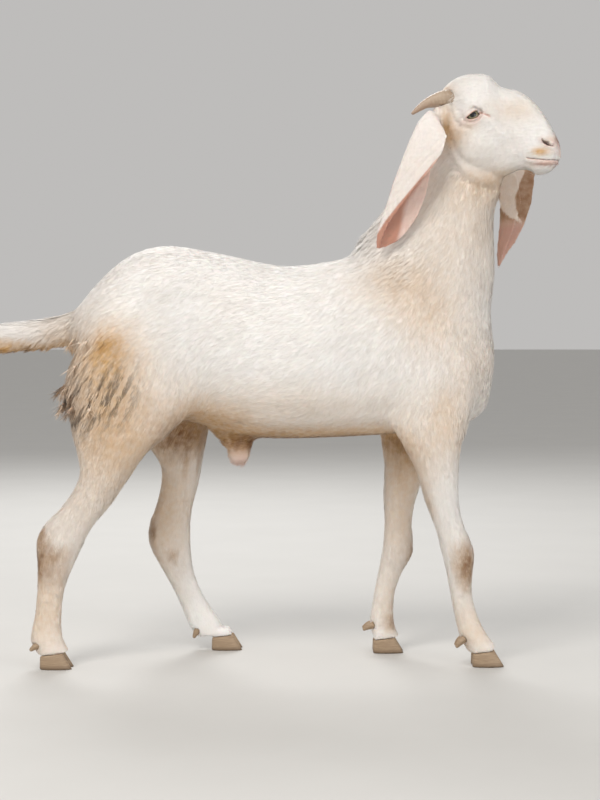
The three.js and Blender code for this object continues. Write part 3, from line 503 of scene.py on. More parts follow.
# ------------------------------------------------------------------ skin: markings
# The hide is white. Dust and dung have stained the thighs, belly, hocks and knees ochre and
# brown, and bare skin at the nose, lips, lids, ears and sheath is pink. Ochre and brown also
# paint shade under the jaw, in the fold behind the elbow and on the far ear, and flushed pink
# paints it in the ears' hollows; along the belly's underside painted shade deepens the stain.
# Each spot is given by place, reach and strength in mm on the right side; skin and coat read
# the same shares.
stains_and_shade = {
    "ochre": [
        ((-243, 84, 500), (33, 50, 32), 0.97), ((-300, 20, 495), (36, 45, 26), 0.55),
        ((-240, 90, 435), (66, 60, 90), 0.68), ((-225, 90, 350), (80, 60, 60), 0.42),
        ((-280, 90, 270), (70, 60, 90), 0.2), ((-310, 10, 440), (50, 60, 80), 0.6),
        ((-90, 80, 395), (60, 60, 26), 0.45), ((60, 90, 410), (220, 60, 34), 0.22),
        ((300, 40, 700), (90, 90, 110), 0.2), ((-340, 80, 100), (60, 60, 110), 0.28),
        ((-170, 60, 270), (60, 60, 90), 0.45), ((220, 50, 250), (40, 60, 110), 0.4),
        ((320, 80, 100), (60, 60, 110), 0.14), ((330, 60, 480), (50, 60, 60), 0.22),
        ((205, 60, 612), (52, 45, 34), 0.38), ((262, 66, 560), (46, 50, 70), 0.28),
        # (282, 84, 400) paints shade in the fold behind the elbow.
        ((225, 40, 560), (60, 70, 40), 0.2), ((282, 84, 400), (30, 40, 40), 0.42),
        ((294, 34, 846), (13, 24, 30), 0.85), ((282, 26, 905), (22, 26, 14), 0.5),
        ((312, 34, 833), (18, 20, 16), 0.45), ((330, 40, 846), (14, 20, 7), 0.25),
        ((442, 30, 807), (13, 22, 6), 0.95), ((400, 30, 872), (34, 30, 18), 0.25),
        # (347, 30, 764), (350, 0, 755) and (390, 30, 774) paint shade under the jaw.
        ((347, 30, 764), (44, 30, 10), 0.2), ((350, 0, 755), (60, 60, 22), 0.25),
        ((454, 20, 825), (9, 14, 5), 0.3), ((390, 30, 774), (30, 30, 8), 0.3),
        # (60, 0, 358) along the belly's underside is a real stain deepened as painted shade.
        ((60, 0, 358), (240, 66, 26), 1.0), ((-60, 50, 385), (50, 40, 18), 0.5),
        ((-345, 0, 499), (46, 30, 9), 1.0), ((-120, 20, 400), (50, 45, 50), 0.7),
        ((240, 30, 330), (50, 50, 40), 0.6), ((-190, 60, 90), (40, 40, 60), 0.3),
        ((-345, 85, 90), (40, 40, 60), 0.3), ((330, 80, 60), (50, 50, 40), 0.3),
        ((215, 45, 80), (50, 50, 50), 0.3), ((340, 60, 700), (20, 30, 60), 0.15),
        ((-190, 60, 200), (50, 40, 70), 0.35), ((-425, 0, 499), (56, 30, 11), 0.97),
    ],
    "soil": [
        ((-350, 90, 172), (13, 30, 26), 0.75), ((-325, 96, 150), (18, 30, 18), 0.4),
        ((-207, 60, 190), (11, 30, 22), 0.75), ((-190, 60, 140), (12, 30, 40), 0.35),
        ((316, 78, 160), (13, 30, 28), 0.9), ((300, 84, 170), (12, 20, 12), 0.4),
        ((244, 46, 158), (13, 30, 26), 0.75), ((254, 84, 248), (7, 20, 26), 0.7),
        # (40, 0, 350) along the belly's underside is a real stain deepened as painted shade.
        ((-142, 40, 368), (42, 40, 36), 0.85), ((40, 0, 350), (200, 46, 14), 0.8),
        ((-366, 0, 499), (20, 24, 5), 0.7), ((-330, 0, 499), (26, 24, 6), 0.45),
        ((-430, 0, 493), (44, 24, 6), 0.5), ((-310, 60, 440), (30, 60, 50), 0.35),
        ((-332, 40, 455), (12, 60, 60), 0.4), ((-300, 78, 420), (14, 30, 18), 0.7),
        ((-372, 80, 30), (16, 20, 14), 0.5), ((-178, 60, 44), (14, 20, 14), 0.5),
        ((306, 80, 36), (14, 20, 14), 0.5), ((204, 50, 50), (14, 20, 14), 0.5),
        ((-348, 90, 208), (9, 30, 12), 0.8), ((-350, 90, 162), (8, 30, 14), 0.6),
        ((-322, 95, 178), (16, 30, 8), 0.5), ((-186, 60, 203), (7, 30, 12), 0.8),
        ((-150, 60, 155), (12, 30, 14), 0.4), ((238, 30, 345), (30, 40, 16), 0.5),
        # Painted shade under the jaw.
        ((347, 28, 757), (44, 40, 10), 0.06),
    ],
    "dark": [
        ((-262, 88, 436), (40, 44, 44), 1.0), ((-312, 50, 430), (26, 60, 52), 0.55),
        ((-218, 90, 440), (20, 40, 40), 0.7), ((-290, 84, 390), (24, 40, 16), 0.8),
    ],
    "blush": [
        ((462, 10, 820), (9, 16, 10), 0.5), ((-40, 0, 318), (18, 20, 18), 0.4),
        ((446, 24, 789), (22, 20, 4.5), 0.7), ((330, 44, 855), (14, 20, 6), 0.3),
    ],
    "flush": [((462, 0, 820), (5, 12, 6), 0.2), ((450, 20, 788), (16, 20, 3), 0.3)],
}


def stain_and_shade_share(points, spots):
    """How strongly each point is marked, by stain and painted shade alike, from spots on both sides, from 0
    to 1.
    """
    clean = np.ones(len(points))
    for place, reach, strength in spots:
        for side in (-1, 1):
            off = (points / MM - np.array(place) * (1, side, 1)) / np.array(reach)
            clean *= 1 - strength * np.exp(-(off**2).sum(1))
    return 1 - clean


def head_spots(points):
    """Points with the head turned straight, so that its spots can be mirrored too."""
    turned = points.copy()
    high = points[:, 2] > 770 * MM
    turned[high] = (head_places(points[high]) + head_pivot) * MM
    return turned


place = points_of(skin_mesh)
facing = normals_of(skin_mesh)
word = regions_at(place)
word[word == "eye"] = "head"
marks = {name: stain_and_shade_share(head_spots(place), spots) for name, spots in stains_and_shade.items()}

# The skin is pink and bare about the lids, at the nostrils, the lips and the front of the nose.
places = head_places(place)
bare = np.zeros(len(place))
for side in eyes:
    along, across, out_of, edge = about_eye(places, side)
    near = out_of > 0
    # Below the eye the pink is stronger: painted shade under the lower lid, over the lids' pink skin.
    below = 1 - step(-3, 2, across)
    marks["blush"] = np.maximum(marks["blush"], 0.75 * ridge(edge, 0, 1.8, 1) * near)
    marks["blush"] = np.maximum(marks["blush"], (0.15 + 0.3 * below) * ridge(edge, 3, 7, 1) * near)
    marks["flush"] = np.maximum(marks["flush"], 0.5 * ridge(edge, 0, 1.2, 1) * near)
    bare = np.maximum(bare, (edge < 0.9) * near)
on_head = (word == "head") & (np.abs(places[:, 1]) < 62)
mouth = places[:, 2] - np.interp(places[:, 0], mouth_u, mouth_z)
lips = step(113, 118, places[:, 0]) * on_head
marks["blush"] = np.maximum(marks["blush"], ridge(mouth, -0.8, 1.5, 0.8) * lips)
lower_lip = step(143, 150, places[:, 0]) * ridge(mouth, -3.5, 3, 0.6) * on_head
marks["blush"] = np.maximum(marks["blush"], lower_lip)
nostril = from_line(places, nostril_line)
marks["blush"] = np.maximum(marks["blush"], ridge(nostril, 0, 2.8, 0.65) * on_head)
nose_front = step(161, 166, places[:, 0]) * (places[:, 2] > 799) * (places[:, 2] < 828) * on_head
marks["blush"] = np.maximum(marks["blush"], 0.55 * nose_front)
slit = from_line(places, ear_wrinkles[2])
# Painted shade darkens the nostril, the line of the mouth and the slit under the ear.
pit = ridge(nostril, 0, 1.5, 0.85) * on_head + ridge(mouth, 0, 0.8, 0.75) * lips
pit += ridge(slit, 0, 1.1, 0.8) * (np.abs(places[:, 1]) < 50) * ~(word == "ear")
tear = from_line(places, tear_line)
beside_nose = on_head * (places[:, 1] ** 2 > 625)
marks["blush"] = np.maximum(marks["blush"], ridge(tear, 0, 2.4, 0.6) * beside_nose)
marks["flush"] = np.maximum(marks["flush"], ridge(tear, 0, 1.1, 0.85) * beside_nose)
bare = np.maximum(bare, (tear < 0.9) * beside_nose)
bare = np.maximum(bare, (nostril < 1.5) * on_head)
bare = np.maximum(bare, 0.9 * nose_front)
bare = np.maximum(bare, (np.abs(mouth) < 1.0) * lips)

# The ear's hollow side is pink, thinly haired skin, with painted shade along the near ear's
# fold. The far ear's haired outer side is turned forward as a lobe; the far ear's hollow side
# is painted in shade, flushed low down and brown and ochre higher up, and its lobe gets a little
# ochre as painted shade. The lines run down the ears, as X and Z.
ear_fold = [
    (310, 838), (288, 815), (262, 791), (230, 753), (204, 722), (186, 699), (174, 680), (160, 655),
]
# Painted shade in the near ear's hollow runs from its fold to this line.
fold_shade_edge = [
    (300, 822), (263, 791), (236, 753), (220, 731), (214, 717), (211, 698), (208, 682), (200, 655),
]
lobe_left = [(366, 830), (372, 770), (380, 750), (378, 739), (383, 722), (395, 711), (420, 702)]
lobe_right = [(426, 830), (424, 787), (414, 765), (406, 746), (407, 724), (412, 714), (421, 702)]


def across_at(height, line):
    """Where a line down the ear lies at each height, mm."""
    return np.interp(height, [z for x, z in line[::-1]], [x for x, z in line[::-1]])


def lobe_share(points):
    """1 on the lobe of the left ear that is turned forward, 0 off it."""
    x, z = points[:, 0] / MM, points[:, 2] / MM
    inside = step(0, 2.5, x - across_at(z, lobe_left)) * step(0, 2.5, across_at(z, lobe_right) - x)
    return inside * step(701, 705, z)


ear = word == "ear"
right = ear & (place[:, 1] < 0)
left = ear & ~right
across, height_at = place[:, 0] / MM, place[:, 2] / MM
toward = facing[:, 1] < 0
past_fold = step(0, 4, across - across_at(height_at, ear_fold))
hollow = np.where(toward, past_fold, 1.0) * right
lobe = lobe_share(place) * toward * left
hollow += toward * left * (1 - lobe)
# Painted shade in the ears' hollows: flushed skin along the near ear's fold, weaker on its far face, and low
# on the far ear; brown and ochre with less pink higher on the far ear; a little ochre on its lobe.
fold_shade = (1 - step(-2, 8, across - across_at(height_at, fold_shade_edge))) * right * hollow
fold_shade *= np.where(toward, 1, 0.3)
fold_shade += 0.75 * (left & toward) * (1 - lobe) * (1 - step(690, 715, height_at))
shade = (left & toward) * (1 - lobe) * step(690, 715, height_at)
marks["blush"] = np.maximum(marks["blush"], 0.62 * hollow * (1 - 0.85 * shade))
marks["flush"] = np.maximum(marks["flush"], 0.85 * fold_shade)
marks["soil"] = np.maximum(marks["soil"], 0.78 * shade)
marks["ochre"] = np.maximum(marks["ochre"], 0.3 * lobe)
marks["ochre"] = np.maximum(marks["ochre"], 0.85 * marks["soil"] ** 0.6)  # soil and painted shade fade out as ochre
marks["blush"] = np.maximum(marks["blush"], 0.1 * ear)
bare = np.maximum(bare, 0.55 * hollow + 0.35 * fold_shade)
marks["pit"] = pit
marks["bare"] = bare

for name, share in marks.items():
    layer = skin_mesh.attributes.new(name, "FLOAT", "POINT")
    layer.data.foreach_set("value", share.astype(np.float32))

# Two shallow furrows run down the near ear's haired side, before its fold.
furrow_depth, furrow_width = 0.9, 3.5
before_fold = across_at(height_at, ear_fold) - across
furrows = ridge(before_fold, 14, furrow_width, furrow_depth)
furrows += ridge(before_fold, 26, furrow_width, furrow_depth)
furrows *= (right & toward) * step(690, 712, height_at) * (1 - step(832, 850, height_at))
raise_points(skin_mesh, -furrows)


# ------------------------------------------------------------------ skin: its surface
# White goat hide: thin pink skin under short hair. What shows between the tufts is drawn as
# the hair's own fine strokes, and light that sinks into the skin warms the bare places. The
# colours are those of the hair and its stains, and of skin that is pale or flushed, with brown,
# flushed pink and a dark pit colour also laid on as painted shade in hollows and creases.
def linear(hex_colour):
    """An sRGB hex colour as the linear values that the shaders take."""
    parts = [int(hex_colour[k:k + 2], 16) / 255 for k in (1, 3, 5)]
    return [c / 12.92 if c <= 0.04045 else ((c + 0.055) / 1.055) ** 2.4 for c in parts] + [1]


def node(tree, kind, inputs=None, **settings):
    """Adds a node with its settings, and each input as a value or a link."""
    made = tree.nodes.new(kind)
    for name, value in settings.items():
        setattr(made, name, value)
    for name, value in (inputs or {}).items():
        if isinstance(value, bpy.types.NodeSocket):
            tree.links.new(value, made.inputs[name])
        else:
            made.inputs[name].default_value = value
    return made


def shader_of(name, **settings):
    """A new material and its Principled shader, with the shader's sockets set by name."""
    made = bpy.data.materials.new(name)
    made.use_nodes = True
    shader = made.node_tree.nodes["Principled BSDF"]
    for words, value in settings.items():
        shader.inputs[words.replace("_", " ")].default_value = value
    return made, shader


white_hair, shaded_hair = linear("#FCFBF9"), linear("#F2EDE8")
# The soil colour is dirt, and also painted shade on the far ear, along the belly and under the jaw.
ochre_hair, soil_and_shade_hair, dark_tip = linear("#DAAE70"), linear("#80532A"), linear("#33200F")
# The flushed colour also paints shade in the ears' hollows; the pit colour is painted shade in the nostrils,
# the mouth line and the slit under the ear.
pink_skin, flushed_and_shaded_skin, pit_shade_colour = linear("#DDB3A2"), linear("#B0755C"), linear("#55302A")
clump_width = 9 * MM  # the hair parts into clumps about this wide
cloud_width = 60 * MM  # and its white turns warmer and cooler over this


def hair_colour(tree, tips=False):
    """White hair with its stains and painted shade, from the shares that skin and coat both carry."""
    at = node(tree, "ShaderNodeTexCoord").outputs["Object"]
    clumps = node(tree, "ShaderNodeTexNoise", {"Vector": at, "Scale": 1 / clump_width, "Detail": 3.0})
    clouds = node(tree, "ShaderNodeTexNoise", {"Vector": at, "Scale": 1 / cloud_width, "Detail": 2.0})
    broken = node(
        tree, "ShaderNodeMapRange",
        {"Value": clumps.outputs["Fac"], "From Min": 0.3, "From Max": 0.65, "To Min": 0.8, "To Max": 1.12},
    )
    mix = node(
        tree, "ShaderNodeMix", {0: clouds.outputs["Fac"], 6: white_hair, 7: shaded_hair}, data_type="RGBA",
    )
    stains_and_shade_over = [("ochre", ochre_hair, broken), ("soil", soil_and_shade_hair, broken)]
    if tips:
        along = node(tree, "ShaderNodeAttribute", attribute_name="along").outputs["Fac"]
        tipped = node(tree, "ShaderNodeMapRange", {"Value": along, "From Max": 0.6})
        stains_and_shade_over.append(("dark", dark_tip, tipped))
    stains_and_shade_over += [("blush", pink_skin, None), ("flush", flushed_and_shaded_skin, None)]
    for mark, tint, patches in stains_and_shade_over:
        share = node(tree, "ShaderNodeAttribute", attribute_name=mark).outputs["Fac"]
        if patches:
            spread = {0: share, 1: patches.outputs["Result"]}
            share = node(tree, "ShaderNodeMath", spread, operation="MULTIPLY").outputs[0]
        mix = node(tree, "ShaderNodeMix", {0: share, 6: mix.outputs[2], 7: tint}, data_type="RGBA")
    return mix.outputs[2]


hide, hide_shader = shader_of(
    "white_goat_hide", Roughness=0.62, IOR=1.45, Subsurface_Weight=0.15, Subsurface_Scale=0.004,
    Sheen_Weight=0.25, Sheen_Roughness=0.5,
)
tree = hide.node_tree
# Painted shade: the nostrils, the mouth line and the slit under the ear are darkened.
pit_shade_share = node(tree, "ShaderNodeAttribute", attribute_name="pit").outputs["Fac"]
pit_shaded = node(
    tree, "ShaderNodeMix", {0: pit_shade_share, 6: hair_colour(tree), 7: pit_shade_colour}, data_type="RGBA",
)
tree.links.new(pit_shaded.outputs[2], hide_shader.inputs["Base Color"])
at = node(tree, "ShaderNodeTexCoord").outputs["Object"]
stroke = (0.7 * MM, 0.7 * MM, 5 * MM)  # a hair's stroke on the hide, drawn as coarse as shows
strokes = node(tree, "ShaderNodeMapping", {"Vector": at, "Scale": [1 / s for s in stroke]})
strokes.inputs["Rotation"].default_value = (0, math.radians(35), 0)
fine = node(tree, "ShaderNodeTexNoise", {"Vector": strokes.outputs["Vector"], "Scale": 1.0, "Detail": 2.0})
hair_bump = {"Height": fine.outputs["Fac"], "Strength": 0.35, "Distance": 0.6 * MM}
raised = node(tree, "ShaderNodeBump", hair_bump)
tree.links.new(raised.outputs["Normal"], hide_shader.inputs["Normal"])

# The lids' bare rims are moist, dark pink skin.
rim, rim_shader = shader_of("moist_lid_rim", Roughness=0.28, IOR=1.4, Subsurface_Weight=0.1)
rim_shader.inputs["Subsurface Scale"].default_value = 0.001
tree = rim.node_tree
at = node(tree, "ShaderNodeTexCoord").outputs["Object"]
mottle = node(tree, "ShaderNodeTexNoise", {"Vector": at, "Scale": 1 / (2 * MM), "Detail": 2.0})
tone = node(
    tree, "ShaderNodeMix",
    {0: mottle.outputs["Fac"], 6: linear("#6E3F38"), 7: linear("#3C221E")}, data_type="RGBA",
)
tree.links.new(tone.outputs[2], rim_shader.inputs["Base Color"])

skin_mesh.materials.append(hide)
skin_mesh.materials.append(rim)
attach(skin, "root")
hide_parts(*[n for n in flesh if region(n) != "eye"])

# ------------------------------------------------------------------ eyes
# A goat's eye: a ball under a clear wet cornea, with a pale green-brown iris, a dark ring round
# it and a pupil that lies as a level slot. It sits in its socket behind the parted lids.
pupil_half = (4.9, 3.2)  # mm along and across
pupil_tilt = math.radians(24)
iris_radius = 9.4
cornea_rise, cornea_width = 0.5, 0.42  # mm at its middle, and as a share of the ball's radius

# A wet eye: the shader's coat is the tear film, which gives the sharp small highlight.
wet, wet_shader = shader_of(
    "wet_goat_eye", Roughness=0.25, IOR=1.38, Coat_Weight=1.0, Coat_Roughness=0.02, Coat_IOR=1.38,
)
tree = wet.node_tree
ring_at = node(tree, "ShaderNodeAttribute", attribute_name="ring").outputs["Fac"]
slot_at = node(tree, "ShaderNodeAttribute", attribute_name="slot").outputs["Fac"]
at = node(tree, "ShaderNodeTexCoord").outputs["Object"]
grain_of = node(tree, "ShaderNodeTexNoise", {"Vector": at, "Scale": 1 / (1.2 * MM), "Detail": 4.0})
layer = node(
    tree, "ShaderNodeMix",
    {0: grain_of.outputs["Fac"], 6: linear("#665F44"), 7: linear("#928A6C")}, data_type="RGBA",
)
rings = ((-2.8, -0.6, "#2C2418"), (1.2, 3.0, "#54402F"))  # the iris's dark rim, then the white
for start, end, tint in rings:
    reach = {"Value": ring_at, "From Min": iris_radius + start, "From Max": iris_radius + end}
    share = node(tree, "ShaderNodeMapRange", reach).outputs["Result"]
    layer = node(tree, "ShaderNodeMix", {0: share, 6: layer.outputs[2], 7: linear(tint)}, data_type="RGBA")
pupil = node(tree, "ShaderNodeMapRange", {"Value": slot_at, "From Min": -0.1, "From Max": 0.9})
layer = node(
    tree, "ShaderNodeMix",
    {0: pupil.outputs["Result"], 6: linear("#0D1012"), 7: layer.outputs[2]}, data_type="RGBA",
)
tree.links.new(layer.outputs[2], wet_shader.inputs["Base Color"])

for side, name in ((-1, "eye_right"), (1, "eye_left")):
    ball = bmesh.new()
    bmesh.ops.create_uvsphere(ball, u_segments=96, v_segments=64, radius=1)
    level = np.array([v.co for v in ball.verts])
    off_middle = np.hypot(level[:, 0], level[:, 1])
    bulge = cornea_rise * np.exp(-((off_middle / cornea_width) ** 2)) - cornea_rise / 2
    around = level * (eyeball_radius + bulge)[:, None]
    for v, point in zip(ball.verts, world_places(eyes[side] + around @ eye_axes(side))):
        v.co = Vector(point)
    if side > 0:
        bmesh.ops.reverse_faces(ball, faces=ball.faces)
    mesh = bpy.data.meshes.new(name)
    ball.to_mesh(mesh)
    ball.free()
    mesh.shade_smooth()
    p, q = level[:, 0] * eyeball_radius, level[:, 1] * eyeball_radius
    along = np.abs(p * math.cos(pupil_tilt) + q * math.sin(pupil_tilt)) - pupil_half[0] + pupil_half[1]
    across = q * math.cos(pupil_tilt) - p * math.sin(pupil_tilt)
    slot = np.hypot(np.maximum(along, 0), across) - pupil_half[1]
    front = level[:, 2] > 0
    for mark, value in (
        ("slot", np.where(front, slot, 9)), ("ring", np.where(front, np.hypot(p, q), eyeball_radius)),
    ):
        mesh.attributes.new(mark, "FLOAT", "POINT").data.foreach_set("value", value.astype(np.float32))
    mesh.materials.append(wet)
    eyeball = piece("eyeball" + name[3:], mesh)
    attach(eyeball, "root")
    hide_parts(name)

# ------------------------------------------------------------------ horns
# Short young horns swept back: grey-tan horn grown over a bony core, ringed near the base and
# worn smooth at the tip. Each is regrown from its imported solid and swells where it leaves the
# head, and its foot is tucked in under the hair.
ring_gap = 5.5  # mm between the horn's rings
fibres_per_metre = (140, 900, 900)  # fibres about 7 mm long and 1.1 mm wide, as coarse as shows

# Ringed horn: dull, with a faint gloss, streaked along and dirty at the foot.
horn, horn_shader = shader_of("ringed_horn", Roughness=0.48, IOR=1.54)
tree = horn.node_tree
at = node(tree, "ShaderNodeTexCoord").outputs["Object"]
along_horn = node(tree, "ShaderNodeAttribute", attribute_name="reach").outputs["Fac"]
fibres = node(tree, "ShaderNodeMapping", {"Vector": at, "Scale": fibres_per_metre})
streaks = node(tree, "ShaderNodeTexNoise", {"Vector": fibres.outputs["Vector"], "Scale": 1.0, "Detail": 3.0})
flecks = node(tree, "ShaderNodeTexNoise", {"Vector": at, "Scale": 1 / (4 * MM), "Detail": 3.0})
base_stain = node(tree, "ShaderNodeMapRange", {"Value": along_horn, "From Min": 0.3, "From Max": 0.0})
stain_broken = node(
    tree, "ShaderNodeMath",
    {0: base_stain.outputs["Result"], 1: flecks.outputs["Fac"]}, operation="MULTIPLY",
)
body_tone = node(
    tree, "ShaderNodeMix", {0: along_horn, 6: linear("#BCB09C"), 7: linear("#AA9482")}, data_type="RGBA",
)
streaked = node(
    tree, "ShaderNodeMix",
    {0: streaks.outputs["Fac"], 6: body_tone.outputs[2], 7: linear("#A68C76")}, data_type="RGBA",
)
stained_base = node(
    tree, "ShaderNodeMix",
    {0: stain_broken.outputs[0], 6: streaked.outputs[2], 7: linear("#6B4A30")}, data_type="RGBA",
)
tree.links.new(stained_base.outputs[2], horn_shader.inputs["Base Color"])
grooves = {"Height": streaks.outputs["Fac"], "Strength": 0.4, "Distance": 0.4 * MM}
horn_bump = node(tree, "ShaderNodeBump", grooves)
tree.links.new(horn_bump.outputs["Normal"], horn_shader.inputs["Normal"])

tip_way = np.array([-0.88, 0, -0.47])
for name in ("horn_right", "horn_left"):
    mesh = regrown([name], 0.9 * MM)
    place_points(mesh, relaxed(mesh, points_of(mesh), np.full(len(mesh.vertices), 8)))
    down_horn = points_of(mesh) @ tip_way
    length = down_horn.max() - down_horn.min()
    reach = (down_horn - down_horn.min()) / length
    rings = np.sin(reach * length / MM / ring_gap * 2 * math.pi)
    height = 0.4 + (0.3 * rings + 1.3 * (1 - reach) ** 2) * (1 - reach) ** 0.7
    height += 3.0 * (1 - reach) ** 3 * (1 - 0.5 * normals_of(mesh)[:, 2])  # thick at the foot
    height -= 5.0 * (1 - step(0, 0.12, reach))  # and tucked in there
    raise_points(mesh, height)
    mesh.attributes.new("reach", "FLOAT", "POINT").data.foreach_set("value", reach.astype(np.float32))
    mesh.shade_smooth()
    mesh.materials.append(horn)
    made = piece("ringed_" + name, mesh)
    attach(made, "root")
    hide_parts(name)

# ------------------------------------------------------------------ claws
# Cloven hooves of pale horn: two claws to a foot with two dewclaws behind, banded by growth
# level with the coronet and darker round the edge that treads the ground.
bands_per_metre = (60, 60, 700)  # growth lines 17 mm long and 1.4 mm apart
claw_rounding, dewclaw_rounding = 8, 14  # times that the edges are evened out

# Pale hoof horn: matt and slightly waxy, darker in its lowest 8 mm, down at the ground.
hoof, hoof_shader = shader_of("pale_hoof_horn", Roughness=0.55, IOR=1.54)
tree = hoof.node_tree
at = node(tree, "ShaderNodeTexCoord").outputs["Object"]
height_of = node(tree, "ShaderNodeSeparateXYZ", {"Vector": at}).outputs["Z"]
bands = node(tree, "ShaderNodeMapping", {"Vector": at, "Scale": bands_per_metre}).outputs["Vector"]
growth_lines = node(tree, "ShaderNodeTexNoise", {"Vector": bands, "Scale": 1.0, "Detail": 3.0})
claw_tone = node(
    tree, "ShaderNodeMix",
    {0: growth_lines.outputs["Fac"], 6: linear("#BDA588"), 7: linear("#7E6650")}, data_type="RGBA",
)
near_ground = node(tree, "ShaderNodeMapRange", {"Value": height_of, "From Min": 8 * MM, "From Max": 0.0})
darkened_low = node(
    tree, "ShaderNodeMix",
    {0: near_ground.outputs["Result"], 6: claw_tone.outputs[2], 7: linear("#6A5641")}, data_type="RGBA",
)
tree.links.new(darkened_low.outputs[2], hoof_shader.inputs["Base Color"])
hoof_bump = node(
    tree, "ShaderNodeBump", {"Height": growth_lines.outputs["Fac"], "Strength": 0.5, "Distance": 0.5 * MM},
)
tree.links.new(hoof_bump.outputs["Normal"], hoof_shader.inputs["Normal"])
for name in sorted(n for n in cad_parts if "claw" in n):
    mesh = regrown([name], 1.3 * MM)
    rounding = dewclaw_rounding if "dewclaw" in name else claw_rounding
    points = relaxed(mesh, points_of(mesh), np.full(len(mesh.vertices), rounding))
    points[:, 2] = np.maximum(points[:, 2], 0)
    place_points(mesh, points)
    mesh.shade_smooth()
    mesh.materials.append(hoof)
    made = piece(name + "_horn", mesh)
    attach(made, "root")
    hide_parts(name)

# ------------------------------------------------------------------ coat
# Short, flat, white hair that runs from the muzzle back over the trunk and down the limbs,
# with longer locks on the breech, tail, nape and breast. Each tuft is a few hairs that taper to
# one tip, rooted in the hide; it takes its stains and painted shade from the hide where it grows.
seed = np.random.default_rng(7)

# Length mm, lift degrees, width mm, and tufts to a square millimetre.
growing = {
    "torso": (11, 6, 0.85, 0.3), "neck": (12, 7, 0.85, 0.36), "head": (5, 7, 0.6, 0.95),
    "ear": (5, 6, 0.7, 0.5), "gaskin": (10, 7, 0.85, 0.4), "forearm": (9, 7, 0.85, 0.4),
    "cannon": (6.5, 7, 0.75, 0.5), "pastern": (3.5, 4, 0.65, 0.7), "tail": (13, 7, 1.0, 0.6),
    "sheath": (7, 14, 0.7, 0.5), "scrotum": (5, 8, 0.7, 0.4),
}

# Longer hair: place, reach, and its length mm, lift degrees and width mm.
longer_hair = [
    ((-295, 70, 450), (56, 60, 74), (27, 10, 1.0)), ((-328, 0, 455), (26, 60, 84), (28, 22, 1.0)),
    ((-372, 0, 497), (54, 34, 11), (19, 20, 0.9)), ((-466, 0, 506), (26, 30, 26), (26, 8, 0.9)),
    ((160, 0, 684), (30, 40, 34), (20, 24, 0.9)), ((205, 60, 636), (52, 50, 42), (20, 9, 1.0)),
    ((350, 0, 430), (20, 60, 56), (12, 9, 0.85)), ((-232, 88, 268), (24, 40, 34), (15, 16, 0.9)),
    ((-210, 50, 300), (20, 40, 40), (15, 16, 0.9)), ((-44, 0, 306), (20, 20, 12), (15, 24, 0.6)),
    ((316, 60, 380), (22, 40, 30), (15, 16, 0.9)), ((306, 34, 894), (13, 15, 13), (13, 12, 0.6)),
    ((340, 0, 760), (40, 40, 20), (9, 15, 0.7)), ((350, 40, 700), (20, 40, 40), (14, 10, 0.9)),
]

# Where the hair is known to run: place and direction on the right side, mirrored for the left.
lie_of_hair = [
    ((-250, 60, 630), (-0.95, 0.1, -0.3)), ((-330, 40, 570), (-0.75, 0, -0.65)),
    ((-320, 80, 480), (-0.5, 0.1, -0.86)), ((-250, 90, 400), (-0.4, 0, -0.92)),
    ((-150, 90, 560), (-0.85, 0, -0.5)), ((-150, 90, 430), (-0.45, 0, -0.9)),
    ((0, 60, 640), (-0.95, 0.2, -0.2)), ((0, 100, 500), (-0.9, 0, -0.42)),
    ((0, 60, 380), (-1, -0.2, -0.15)), ((150, 95, 550), (-0.75, 0, -0.65)),
    ((150, 90, 430), (-0.65, 0, -0.75)), ((250, 80, 500), (-0.35, 0, -0.94)),
    ((290, 70, 580), (-0.4, 0, -0.92)), ((360, 20, 480), (-0.1, 0.4, -0.9)),
    ((180, 10, 680), (-0.6, 0.1, -0.8)), ((230, 50, 730), (-0.55, 0, -0.85)),
    ((200, 60, 640), (-0.75, 0, -0.65)),
    ((300, 50, 720), (-0.3, 0, -0.95)), ((360, 30, 720), (0, 0.3, -0.95)),
    ((330, 50, 800), (-0.6, 0, -0.8)), ((460, 15, 860), (-0.6, 0.3, 0.7)),
    ((430, 20, 905), (-0.8, 0.25, 0.5)), ((410, 45, 850), (-0.95, 0.1, -0.1)),
    ((350, 50, 840), (-0.9, 0.1, -0.45)), ((330, 30, 930), (-0.95, 0.3, 0.1)),
    ((270, 20, 915), (-0.9, 0.2, -0.4)), ((430, 20, 815), (-0.8, 0.2, -0.5)),
    ((210, 60, 760), (-0.42, 0, -0.9)), ((420, 85, 740), (0, 0, -1)),
    ((-420, 20, 525), (-1, 0, -0.1)), ((-370, 10, 495), (-0.75, 0, -0.65)),
    ((-340, 60, 250), (-0.3, 0, -0.95)), ((-340, 60, 100), (0, 0, -1)),
    ((-190, 60, 250), (-0.2, 0, -0.97)), ((-190, 60, 100), (0.3, 0, -0.95)),
    ((200, 60, 300), (-0.1, 0, -1)), ((290, 60, 300), (0.1, 0, -1)), ((300, 60, 60), (0.3, 0, -1)),
]


def unit(vectors):
    """The vectors' directions, each of length 1."""
    return vectors / np.maximum(np.linalg.norm(vectors, axis=1), 1e-9)[:, None]


def drift(points, width):
    """A smooth wandering value at each point, that turns over within the width given in mm."""
    total = np.zeros(len(points))
    for _ in range(5):
        wave = seed.normal(0, 1, 3)
        wave *= 2 * math.pi / (width * np.linalg.norm(wave) * seed.uniform(0.7, 1.4))
        total += np.sin(points / MM @ wave + seed.uniform(0, 6.3))
    return total / 2.2


comb_reach = 100  # mm over which a known place loses its hold
comb_ease = 0.06  # keeps it from ruling alone close by


def combed(points):
    """The direction in which the hair runs at each point, from the known places about it."""
    total = np.zeros_like(points)
    for spot, way in lie_of_hair:
        for side in (-1, 1):
            gap = (points / MM - np.array(spot) * (1, side, 1)) / comb_reach
            total += np.array(way) * (1, side, 1) / ((gap**2).sum(1) + comb_ease)[:, None] ** 3
    return unit(total)


